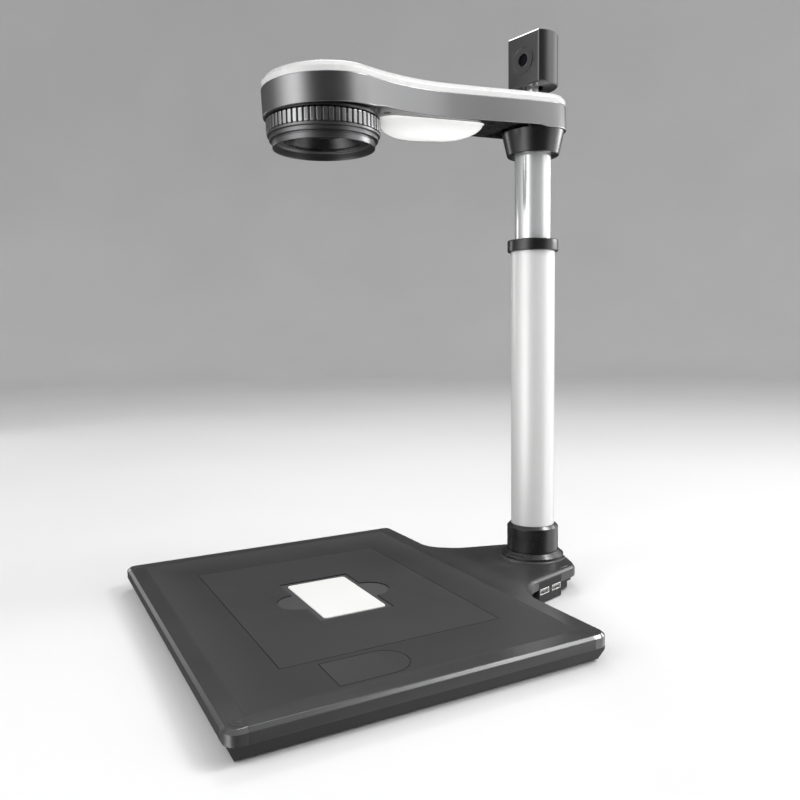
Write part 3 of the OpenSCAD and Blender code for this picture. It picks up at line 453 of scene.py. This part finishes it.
def half_outline(inset):
    """Board and neck outline for x >= 0, from the front's middle to the neck end's middle."""
    half_l, half_w = HALF_L - inset, HALF_W - inset
    corner = max(CORNER_R - inset, 1.0)
    pts = [(half_l * t, -half_w) for t in (0, 0.25, 0.5, 0.75)]
    pts += arc(half_l - corner, -half_w + corner, corner, -90, 0, 8)
    pts += [(half_l, -half_w + corner + (2 * half_w - 2 * corner) * t) for t in (0.25, 0.5, 0.75)]
    pts += arc(half_l - corner, half_w - corner, corner, 0, 90, 8)
    # The fillet touches the board's back edge and the neck's side
    side = SIDE_D - inset
    fillet = FILLET_R + inset
    fy = half_w + fillet
    fx = (side + fillet - SIDE_N.y * fy) / SIDE_N.x
    pts += [(half_l - corner + (fx - half_l + corner) * t, half_w) for t in (0.33, 0.67)]
    pts += arc(fx, fy, fillet, 270, 180 + math.degrees(TAPER), 20)
    # The port bay's two ends and its middle
    for along in (BAY[0], (BAY[0] + BAY[1]) / 2, BAY[1]):
        p = side * SIDE_N + (SIDE_T.dot(SIDE_REF) + along) * SIDE_T
        pts.append((p.x, p.y))
    # The back corner touches the neck's side and its round back end
    end_r = END_R - inset
    turn_r = NECK_CORNER - min(inset, NECK_CORNER - 2)
    across = side - turn_r - SIDE_N.y * END_C
    along = math.sqrt((end_r - turn_r) ** 2 - across ** 2)
    c = Vector((0, END_C)) + across * SIDE_N + along * SIDE_T
    turn = math.degrees(math.atan2(c.y - END_C, c.x))
    pts += arc(c.x, c.y, turn_r, math.degrees(TAPER), turn, 10)
    pts += arc(0, END_C, end_r, turn, 90, 12)[1:]
    return pts


def full_outline(inset):
    right = half_outline(inset)
    left = [(-x, y) for x, y in reversed(right[1:-1])]
    return right + left


def neck_weight(y):
    """0 on the board, 1 on the neck."""
    return smooth((y - (MAT_Y + 2)) / 26)


def cover_height(x, y):
    """Height of the top face: it climbs to the neck, swells round the flange and steps up to it."""
    z = BOARD_TOP + (NECK_TOP - BOARD_TOP) * neck_weight(y)
    r = math.hypot(x, y - COLUMN.y)
    rise = 0.5 * smooth((SKIRT_R - r) / SKIRT_RUN) + 0.5 * smooth((STEP_R - r) / STEP_RUN)
    # The rise dies out toward the neck's back edge
    to_edge = END_R - 2.6 - math.hypot(x, y - END_C)
    rise *= smooth(to_edge / 3.0)
    return z + (SEAT_TOP - 0.04 - z) * rise


# How the cover's edge runs, from its underside to its top face: inset and
# height on the board, then inset and height on the neck.
EDGE = [
    ((4.0, BAND_Z), (4.0, BAND_Z + 1)),
    ((0.7, BAND_Z), (1.4, BAND_Z + 1)),
    ((0.15, BAND_Z + 0.2), (0.5, BAND_Z + 1.3)),
    ((0.0, BAND_Z + 0.7), (0.08, BAND_Z + 2.2)),
    ((0.0, 18.9), (0.0, BAY_TOP + 0.1)),
    ((0.08, 19.25), (0.15, 20.9)),
    ((0.35, 19.6), (0.5, 21.35)),
    ((2.35, 21.2), (2.1, 22.85)),
    ((2.75, 21.42), (2.9, 23.2)),
    ((3.3, BOARD_TOP), (4.3, NECK_TOP)),
]
BAY_STRIPS = 4  # the lowest strips of the edge, which the port bay interrupts


def edge_wall(bm):
    """The cover's side and bevel, open at the port bay. Returns the rim of the top face."""
    rings = []
    for b, n in EDGE:
        pb, pn = full_outline(b[0]), full_outline(n[0])
        ring = []
        for (bx, by), (nx, ny) in zip(pb, pn):
            w = neck_weight((by + ny) / 2)
            ring.append(bm.verts.new((bx + (nx - bx) * w, by + (ny - by) * w, b[1] + (n[1] - b[1]) * w)))
        rings.append(ring)
    first = half_outline(0)
    bay_from = min(i for i, p in enumerate(first)
                   if abs(SIDE_N.dot(Vector(p)) - SIDE_D) < 0.01
                   and abs(SIDE_T.dot(Vector(p) - SIDE_REF) - BAY[0]) < 0.01)
    for k, (a, b) in enumerate(zip(rings, rings[1:])):
        n = len(a)
        for i in range(n):
            if k < BAY_STRIPS and i in (bay_from, bay_from + 1):
                continue
            j = (i + 1) % n
            bm.faces.new((a[i], a[j], b[j], b[i]))
    return rings[-1]


def pocket_loop():
    """The mat's pocket, with 24 points along each side."""
    x, y = MAT_X + 0.1, MAT_Y + 0.1
    corners = [(-x, -y), (x, -y), (x, y), (-x, y)]
    loop = []
    for a, b in zip(corners, corners[1:] + corners[:1]):
        loop += [(a[0] + (b[0] - a[0]) * i / 24, a[1] + (b[1] - a[1]) * i / 24) for i in range(24)]
    return loop


def top_points(rim):
    """Points across the neck and in rings round the flange, so that the top face can curve."""
    pitch, row_gap, reach = 3.0, 2.6, 112.0
    pts = []
    y = MAT_Y + 3.0
    row = 0
    while y < NECK_END:
        x = -reach + (pitch / 2 if row % 2 else 0)
        while x < reach:
            p = Vector((x, y))
            near = (p - COLUMN.xy).length < FLANGE_R + 6.5
            if not near and inside(p, rim) and clear_of(p, rim, 1.6):
                pts.append(p)
            x += pitch
        y += row_gap
        row += 1
    for step in (-3.0, 0.6, 1.2, 1.75, 2.3, 2.85, 3.4, 4.6):
        for q in arc(COLUMN.x, COLUMN.y, FLANGE_R + step, 0, 356.25, 95):
            p = Vector(q)
            if inside(p, rim) and clear_of(p, rim, 1.2):
                pts.append(p)
    return pts


def board_mesh():
    """The whole cover: its edge, its top face and the wall of the mat's pocket."""
    bm = bmesh.new()
    top = edge_wall(bm)
    rim = [v.co.xy.copy() for v in top]
    loop = pocket_loop()
    nt, nl = len(top), len(loop)
    points = rim + [Vector(p) for p in loop] + top_points(rim)
    edges = [(i, (i + 1) % nt) for i in range(nt)] + [(nt + i, nt + (i + 1) % nl) for i in range(nl)]
    places, _, triangles, origins, _, _ = delaunay_2d_cdt(points, edges, [], 0, 1e-5)
    verts = []
    wall = []
    for p, origin in zip(places, origins):
        if origin and origin[0] < nt:
            verts.append(top[origin[0]])
            continue
        verts.append(bm.verts.new((p.x, p.y, cover_height(p.x, p.y))))
        if origin and origin[0] < nt + nl:
            wall.append((origin[0], verts[-1]))
    for f in triangles:
        c = sum((places[i] for i in f), Vector((0, 0))) / len(f)
        in_pocket = abs(c.x) < MAT_X + 0.1 and abs(c.y) < MAT_Y + 0.1
        if inside(c, rim) and not in_pocket:
            bm.faces.new([verts[i] for i in f])
    wall = [v for _, v in sorted(wall, key=lambda w: w[0])]
    bridge(bm, wall, [bm.verts.new((v.co.x, v.co.y, MAT_FLOOR)) for v in wall])
    return bm


def split_cover():
    """Cuts the four corner caps out of the cover along fine joint lines."""
    for name, keep_cap in (("board_cover", False), ("board_caps", True)):
        bm = board_mesh()
        bmesh.ops.remove_doubles(bm, verts=bm.verts, dist=1e-4)
        gap = 0.14 if keep_cap else 0.0
        for s in (-1, 1):
            for co, no in (((s * (HALF_L - CAP + gap), 0, 0), (1, 0, 0)),
                           ((0, s * (HALF_W - CAP + gap), 0), (0, 1, 0))):
                whole = bm.verts[:] + bm.edges[:] + bm.faces[:]
                bmesh.ops.bisect_plane(bm, geom=whole, plane_co=co, plane_no=no)
        for f in [f for f in bm.faces if in_cap(f.calc_center_median(), gap) != keep_cap]:
            bm.faces.remove(f)
        for v in [v for v in bm.verts if not v.link_faces]:
            bm.verts.remove(v)
        # The faces inside the joint, which show as its depth
        rim = [e for e in bm.edges if len(e.link_faces) == 1 and on_joint(e, gap)]
        out = bmesh.ops.extrude_edge_only(bm, edges=rim)
        for v in [g for g in out["geom"] if isinstance(g, bmesh.types.BMVert)]:
            v.co.z = min(v.co.z, max(BAND_Z, v.co.z - 1.2))
        material = MATERIALS["cap" if keep_cap else "board"]
        ob = piece(name, bm, "base", material, 28, flat=True)
        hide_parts("corner_caps" if keep_cap else "base_top_cover")


def in_cap(c, gap):
    return abs(c.x) > HALF_L - CAP + gap and abs(c.y) > HALF_W - CAP + gap


def on_joint(e, gap):
    m = (e.verts[0].co + e.verts[1].co) / 2
    at_x = abs(abs(m.x) - (HALF_L - CAP + gap)) < 0.01 and abs(m.y) > HALF_W - CAP - 1
    at_y = abs(abs(m.y) - (HALF_W - CAP + gap)) < 0.01 and abs(m.x) > HALF_L - CAP - 1
    return at_x or at_y


def cap_marks():
    """Two small arcs let into the top of the near corner's cap."""
    half, deep, proud = 0.28, 0.3, 0.02
    bm = bmesh.new()
    for r in (4.0, 7.0):
        loops = []
        for a in range(-84, -5, 6):
            turn = math.radians(a)
            c, s = math.cos(turn), math.sin(turn)
            loops.append([bm.verts.new((HALF_L - 12 + q * c, 12 - HALF_W + q * s, z))
                          for q, z in ((r - half, BOARD_TOP - deep), (r + half, BOARD_TOP - deep),
                                       (r + half, BOARD_TOP + proud), (r - half, BOARD_TOP + proud))])
        for a, b in zip(loops, loops[1:]):
            bridge(bm, a, b)
        bm.faces.new(loops[0])
        bm.faces.new(loops[-1])
    piece("cap_marks", bm, "base", MATERIALS["under"])


split_cover()
cap_marks()


# ----------------------------------------------------------------- arm


def hermite(t, a, b, sa, sb):
    """A curve from a to b that leaves with slope sa and arrives with slope sb."""
    return (a * (2 * t ** 3 - 3 * t ** 2 + 1) + b * (3 * t ** 2 - 2 * t ** 3)
            + sa * (t ** 3 - 2 * t ** 2 + t) + sb * (t ** 3 - t ** 2))


def arm_outline(inset):
    """The arm in plan: round head, waist and round rear end."""
    head_y = -COLUMN.y
    wide = math.sqrt(HEAD_R ** 2 - SHOULDER ** 2)
    y0 = head_y + SHOULDER
    slope = -SHOULDER / wide
    a0 = math.degrees(math.atan2(SHOULDER, wide))
    pts = arc(0, head_y, HEAD_R - inset, -90, a0, 44)
    for i in range(1, 25):
        t = i / 24
        pts.append((hermite(t, wide, WAIST, slope * (WAIST_Y - y0), 0) - inset, y0 + (WAIST_Y - y0) * t))
    for i in range(1, 17):
        t = i / 16
        pts.append((hermite(t, WAIST, REAR_R, 0, 0) - inset, WAIST_Y - WAIST_Y * t))
    pts += arc(0, 0, REAR_R - inset, 0, 90, 24)[1:]
    left = [(-x, y) for x, y in reversed(pts[1:-1])]
    return pts + left


def arm_rings(bm, profile):
    """Walls that follow the arm's outline, from (inset, z) points."""
    rings = [[bm.verts.new((x, y, z)) for x, y in arm_outline(inset)] for inset, z in profile]
    for a, b in zip(rings, rings[1:]):
        bridge(bm, a, b)
    return rings


def lip_weight(y):
    """The lip runs round the head and round the rear end and fades along the arm."""
    return max(smooth((-172 - y) / 18), smooth((y + 16) / 12))


def fill(bm, ring):
    """Fills a mirrored outline with quads across it."""
    n = len(ring)
    for i in range(n // 2):
        a, b = ring[i], ring[i + 1]
        c, d = ring[(n - i - 1) % n], ring[(n - i) % n]
        face = []
        for v in (a, b, c, d):
            if v not in face:
                face.append(v)
        if len(face) > 2:
            bm.faces.new(face)


bm = bmesh.new()
rings = arm_rings(bm, [(2.3, -1.6), (2.3, 0.04), (0.25, 0.04), (0.06, 0.18), (0, 0.4), (0, 3.9),
                       (0.1, 4.4), (0.45, 5.0), (2.4, 7.5), (3.1, 8.15), (4.1, 8.6), (5.6, COVER_H)])
fill(bm, rings[-1])
cap = piece("arm_cap", bm, "mast", MATERIALS["white"], 40, ARM, flat=True)
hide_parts("arm_top_cover")

bm = bmesh.new()
rings = arm_rings(bm, [(2.2, -BAND_H), (0.9, -BAND_H), (0.4, -BAND_H + 0.15), (0.1, -BAND_H + 0.5),
                       (0, -BAND_H + 1.0), (0, -0.45), (0.12, -0.12), (0.4, 0), (2.2, 0)])
for ring in rings[:5]:
    for v in ring:
        v.co.z -= LIP_D * lip_weight(v.co.y)
bridge(bm, rings[-1], rings[0])
band = piece("arm_band", bm, "mast", MATERIALS["band"], 40, ARM, flat=True)
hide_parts("arm_side_frame")


# ---------------------------------------------------------------- lamp


def dome_z(k, a):
    """Depth of the dome at the fraction k of its plan, fuller toward the head."""
    p = 2.1 + 3.4 * smooth((-math.sin(a) + 0.2) / 1.2)
    return PLATE_Z - 0.1 - (LAMP_DEPTH - 0.1) * (1 - k ** p) ** 0.62


def lamp_ring(bm, k, z=None, grow=0.0):
    """A rounded oblong at the fraction k of the lamp's plan, at height z or on the dome."""
    ring = []
    for i in range(LAMP_SIDES):
        a = 2 * math.pi * i / LAMP_SIDES
        c, s = math.cos(a), math.sin(a)
        x = math.copysign(abs(c) ** (2 / LAMP_SQUARENESS), c) * (LAMP_HALF[0] * k + grow)
        y = math.copysign(abs(s) ** (2 / LAMP_SQUARENESS), s) * (LAMP_HALF[1] * k + grow)
        ring.append(bm.verts.new((x, LAMP_Y + y, dome_z(k, a) if z is None else z)))
    return ring


bm = bmesh.new()
rings = [lamp_ring(bm, 1, PLATE_Z + 3.0, 2.6), lamp_ring(bm, 1, PLATE_Z + 0.6, 2.4),
         lamp_ring(bm, 1, PLATE_Z + 0.3, 0.3), lamp_ring(bm, 1, PLATE_Z - 0.1)]
for i in range(1, 19):
    rings.append(lamp_ring(bm, math.cos(math.pi / 2 * i / 19)))
for a, b in zip(rings, rings[1:]):
    bridge(bm, a, b)
tip = bm.verts.new((0, LAMP_Y, PLATE_Z - LAMP_DEPTH))
for i in range(LAMP_SIDES):
    bm.faces.new((rings[-1][i], rings[-1][(i + 1) % LAMP_SIDES], tip))
lamp = piece("lamp_dome", bm, "mast", MATERIALS["lamp"], 50, ARM)
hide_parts("lamp_diffuser")


# ---------------------------------------------------------- focus ring

bm = bmesh.new()
lathe(bm, [(FOCUS_BORE, FOCUS_FOOT + 0.4), (FOCUS_BORE + 0.4, FOCUS_FOOT), (FOCUS_R - 1.2, FOCUS_FOOT),
           (FOCUS_R - 0.7, FOCUS_FOOT + 0.4), (FOCUS_R - 0.6, FOCUS_FOOT + 1.8),
           (FOCUS_R - 1.9, FOCUS_FOOT + 2.1), (FOCUS_R - 1.9, FOCUS_TOP - 0.9),
           (FOCUS_R - 2.1, FOCUS_TOP - 0.3), (FOCUS_R - 2.7, FOCUS_TOP), (FOCUS_BORE, FOCUS_TOP)], 240)
piece("focus_ring_body", bm, "focus", MATERIALS["anodised"], 30)


def rib_mesh():
    """Raised pads round the ring, each with softened edges and a turned-in foot."""
    bm = bmesh.new()
    z0, z1 = FOCUS_FOOT + 2.3, FOCUS_TOP - 0.6
    w = 2 * math.pi * FOCUS_R / RIBS * 0.34
    outer, inner = FOCUS_R, FOCUS_R - 2.0
    side = [(-w, z0 + 0.8), (-w + 0.5, z0 + 0.2), (-w + 1.0, z0), (w - 0.3, z0), (w, z0 + 0.3),
            (w, z1 - 0.5), (w - 0.2, z1 - 0.1), (w - 0.5, z1), (-w + 0.5, z1), (-w + 0.1, z1 - 0.15),
            (-w, z1 - 0.5)]
    for k in range(RIBS):
        turn = Matrix.Rotation(2 * math.pi * (k + 0.5) / RIBS, 4, "Z")
        mid_z = (z0 + z1) / 2
        loops = []
        for depth, shrink in ((inner, 0.0), (outer - 0.45, 0.0), (outer - 0.15, 0.1), (outer, 0.42)):
            loop = []
            for x, z in side:
                fx = x - math.copysign(min(shrink, abs(x)), x)
                fz = z - math.copysign(shrink, z - mid_z)
                loop.append(bm.verts.new(turn @ Vector((depth, fx, fz))))
            loops.append(loop)
        for a, b in zip(loops, loops[1:]):
            bridge(bm, a, b)
        bm.faces.new(loops[-1])
    return bm


ribs = piece("focus_ring_ribs", rib_mesh(), "focus", MATERIALS["knurl"], 30, flat=True)
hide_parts("focus_ring")

# ---------------------------------------------------- carried-over nodes

# Material, softened edge in millimetres, the angle past which an edge is
# softened, then the nodes.
FINISHES = [
    ("mat", 0, 32, "document_mat"),
    ("under", 0.5, 32, "base_bottom_cover"),
    ("under", 0.15, 32, "cover_screws"),
    ("rubber", 0.4, 32, "rubber_feet"),
    ("port", 0.15, 32, "port_panel"),
    ("nickel", 0.12, 32, "usb_shells"),
    ("nickel", 0.15, 32, "uplink_socket"),
    ("white", 0, 32, "usb_tongues"),
    ("card", 0.08, 32, "sample_card"),
    ("black", 0.3, 20, "column_flange swivel_collar"),
    ("black", 0.35, 20, "arm_socket"),
    ("black", 0.3, 32, "end_ring aux_mount"),
    ("black", 0.2, 32, "arm_bottom_cover lens_mount lens_barrel"),
    ("tube", 0.2, 32, "outer_tube"),
    ("chrome", 0.15, 32, "inner_tube"),
    ("chrome", 0.2, 32, "aux_stem"),
    ("anodised", 0.2, 20, "lens_hood"),
    ("aux", 0.5, 32, "aux_back_shell"),
    ("aux", 0.3, 32, "aux_front_shell"),
    ("aux", 0.15, 20, "aux_lens_ring"),
    ("zinc", 0.15, 32, "ballast_plate base_screws seat_plate swivel_spindle spindle_nut spindle_washer"),
    ("zinc", 0.15, 32, "slide_key socket_screws mount_screws focus_pin aux_clip aux_tilt_pin"),
    ("board_pcb", 0.1, 32, "hub_board main_board sensor_board aux_board"),
    ("nylon", 0.1, 32, "guide_bush slider_bush lamp_board lamp_leds"),
    ("bronze", 0.1, 32, "swivel_bush"),
    ("lens", 0.05, 32, "lens_front_glass lens_rear_glass"),
    ("pupil", 0.05, 32, "aux_lens_glass"),
]
for material, width, angle, names in FINISHES:
    for name in names.split():
        dress(name, MATERIALS[material], width, angle)
for p in node["document_mat"].data.polygons:
    p.use_smooth = False


# --------------------------------------------------------------- studio


def add_floor():
    """A pale round floor that turns up into a distant wall."""
    bm = bmesh.new()
    profile = [(0.4 + 0.4 * i, 0) for i in range(9)]
    flat_r, turn, wall_top = 3.6, 1.6, 4.5
    for deg in range(10, 91, 10):
        a = math.radians(deg)
        profile.append((flat_r + turn * math.sin(a), turn - turn * math.cos(a)))
    profile.append((flat_r + turn, wall_top))
    rings = lathe(bm, profile, 96, False)
    bm.faces.new(rings[0])
    bmesh.ops.recalc_face_normals(bm, faces=bm.faces)
    if bm.faces[0].normal.dot(bm.faces[0].calc_center_median() - Vector((0, 0, 2))) > 0:
        bmesh.ops.reverse_faces(bm, faces=bm.faces)
    for f in bm.faces:
        f.smooth = f.calc_center_median().z > 0.01
    me = bpy.data.meshes.new("floor")
    bm.to_mesh(me)
    bm.free()
    m, t, b = shader("floor_pale")
    cloud = noise(t, coords(t), 1.5, 2, 0.5)
    link(t, tint(t, cloud, (0.76, 0.76, 0.76), (0.80, 0.80, 0.80)), b.inputs["Base Color"])
    b.inputs["Roughness"].default_value = 0.75
    me.materials.append(m)
    ob = bpy.data.objects.new("floor", me)
    ob.visible_glossy = False
    bpy.context.scene.collection.objects.link(ob)


def node_math(t, op, a, b):
    n = t.nodes.new("ShaderNodeMath")
    n.operation = op
    for k, v in enumerate((a, b)):
        if isinstance(v, (int, float)):
            n.inputs[k].default_value = v
        else:
            link(t, v, n.inputs[k])
    return n.outputs["Value"]


def directions(t):
    """The angle round the object from the viewer's side, as 0 to 1, and a mask that is 1 overhead."""
    c = t.nodes.new("ShaderNodeTexCoord")
    xyz = t.nodes.new("ShaderNodeSeparateXYZ")
    turned = t.nodes.new("ShaderNodeVectorRotate")
    turned.rotation_type = "Z_AXIS"
    turned.inputs["Angle"].default_value = math.radians(28.1)
    link(t, c.outputs["Generated"], turned.inputs["Vector"])
    link(t, turned.outputs["Vector"], xyz.inputs["Vector"])
    around = node_math(t, "ARCTAN2", xyz.outputs["Y"], xyz.outputs["X"])
    around = node_math(t, "MULTIPLY", around, 0.5 / math.pi)
    around = node_math(t, "ADD", around, 0.5)
    overhead = t.nodes.new("ShaderNodeMapRange")
    overhead.interpolation_type = "SMOOTHSTEP"
    overhead.inputs["From Min"].default_value = 0.45
    overhead.inputs["From Max"].default_value = 0.85
    link(t, xyz.outputs["Z"], overhead.inputs["Value"])
    return around, overhead.outputs["Result"]


def room(t, shell, around, overhead, stops, top, strength):
    """Brightness by direction: degrees from the viewer's side, positive to the right."""
    ramp = t.nodes.new("ShaderNodeValToRGB")
    row = ramp.color_ramp.elements
    for k, (deg, grey) in enumerate(stops):
        place = (deg + 180) / 360
        stop = row[k] if k < 2 else row.new(place)
        stop.position = place
        stop.color = (grey, grey, grey, 1)
    link(t, around, ramp.inputs["Fac"])
    sky = t.nodes.new("ShaderNodeMix")
    sky.data_type = "RGBA"
    link(t, overhead, sky.inputs["Factor"])
    link(t, ramp.outputs["Color"], sky.inputs["A"])
    sky.inputs["B"].default_value = (top, top, top, 1)
    link(t, sky.outputs["Result"], shell.inputs["Color"])
    shell.inputs["Strength"].default_value = strength


def studio_world():
    """A room that lights the object, and a second one with crisper panels that only reflections see."""
    world = bpy.data.worlds.new("studio")
    bpy.context.scene.world = world
    world.use_nodes = True
    t = world.node_tree
    around, overhead = directions(t)
    soft = t.nodes["Background"]
    room(t, soft, around, overhead,
         [(-180, 0.05), (-150, 0.10), (-120, 0.30), (-90, 0.80), (-66, 1.0), (-44, 0.80), (-20, 0.14),
          (0, 0.05), (30, 0.07), (48, 0.32), (64, 0.55), (90, 0.85), (112, 1.0), (140, 0.45), (165, 0.08),
          (180, 0.05)], 0.75, 0.9)
    crisp = t.nodes.new("ShaderNodeBackground")
    room(t, crisp, around, overhead,
         [(-180, 0.02), (-150, 0.05), (-118, 0.08), (-98, 0.13), (-82, 0.34), (-67, 0.72), (-53, 1.0),
          (-41, 0.92), (-29, 0.34), (-17, 0.06), (-4, 0.01), (22, 0.01), (36, 0.02), (46, 0.06),
          (55, 0.20), (62, 0.42), (72, 0.56), (88, 0.48), (102, 0.58), (122, 0.62), (138, 0.26),
          (154, 0.04), (172, 0.02)], 0.26, 2.0)
    rays = t.nodes.new("ShaderNodeLightPath")
    either = t.nodes.new("ShaderNodeMixShader")
    link(t, rays.outputs["Is Glossy Ray"], either.inputs["Fac"])
    link(t, soft.outputs["Background"], either.inputs[1])
    link(t, crisp.outputs["Background"], either.inputs[2])
    link(t, either.outputs["Shader"], t.nodes["World Output"].inputs["Surface"])


def softbox(name, place, target, size, power, glossy=True):
    """A rectangular light at a place, turned to a target."""
    d = bpy.data.lights.new(name, "AREA")
    d.shape = "RECTANGLE"
    d.size, d.size_y = size
    d.energy = power
    ob = bpy.data.objects.new(name, d)
    ob.location = place
    ob.rotation_euler = (Vector(target) - Vector(place)).to_track_quat("-Z", "Y").to_euler()
    ob.visible_camera = False
    ob.visible_glossy = glossy
    bpy.context.scene.collection.objects.link(ob)
    return ob


add_floor()
studio_world()
softbox("light_top", (0.56, 1.10, 1.45), (0.15, 0.05, 0), (0.5, 0.6), 15)
softbox("light_rim", (-1.07, 0.53, 1.64), (0, 0.2, 0.45), (0.5, 0.5), 6)
softbox("light_front", (1.2, -1.1, 1.5), (0, 0.1, 0.2), (1.0, 1.0), 8, False)
softbox("light_left", (0.1, -1.7, 1.1), (0, 0, 0.3), (0.9, 1.4), 12, False)
softbox("light_right", (1.3, 1.2, 1.0), (0, 0.1, 0.3), (0.8, 1.4), 8, False)
softbox("light_edge", (-1.5, -0.58, 0.42), (0, -0.14, 0), (0.5, 0.35), 1.0)
lip = softbox("light_lip", (0.17, 1.05, 0.50), (0.1, 0.2, 0.02), (0.5, 0.16), 2.0)
lip.visible_diffuse = False

# --------------------------------------------------------------- camera

# In metres and degrees: where the viewer stands and which way the viewer faces
CAMERA_PLACE = Vector((0.5778, -0.2428, 0.2422))
YAW, PITCH, ROLL = math.radians(61.915), math.radians(5.147), math.radians(-0.842)
SENSOR, FOCAL = 36.0, 34.19


def place_camera():
    """Looks along the direction given by yaw and pitch, then rolls about it."""
    cam = bpy.data.cameras.new("camera")
    cam.sensor_width = SENSOR
    cam.lens = FOCAL
    view = bpy.data.objects.new("camera", cam)
    back = Vector((math.sin(YAW) * math.cos(PITCH), -math.cos(YAW) * math.cos(PITCH), math.sin(PITCH)))
    right = (-back).cross(Vector((0, 0, 1))).normalized()
    up = right.cross(-back)
    rolled_right = math.cos(ROLL) * right + math.sin(ROLL) * up
    rolled_up = -math.sin(ROLL) * right + math.cos(ROLL) * up
    turn = Matrix((rolled_right, rolled_up, back)).transposed().to_4x4()
    view.matrix_world = Matrix.Translation(CAMERA_PLACE) @ turn
    bpy.context.scene.collection.objects.link(view)
    bpy.context.scene.camera = view


place_camera()
bpy.context.scene.view_settings.view_transform = "Standard"
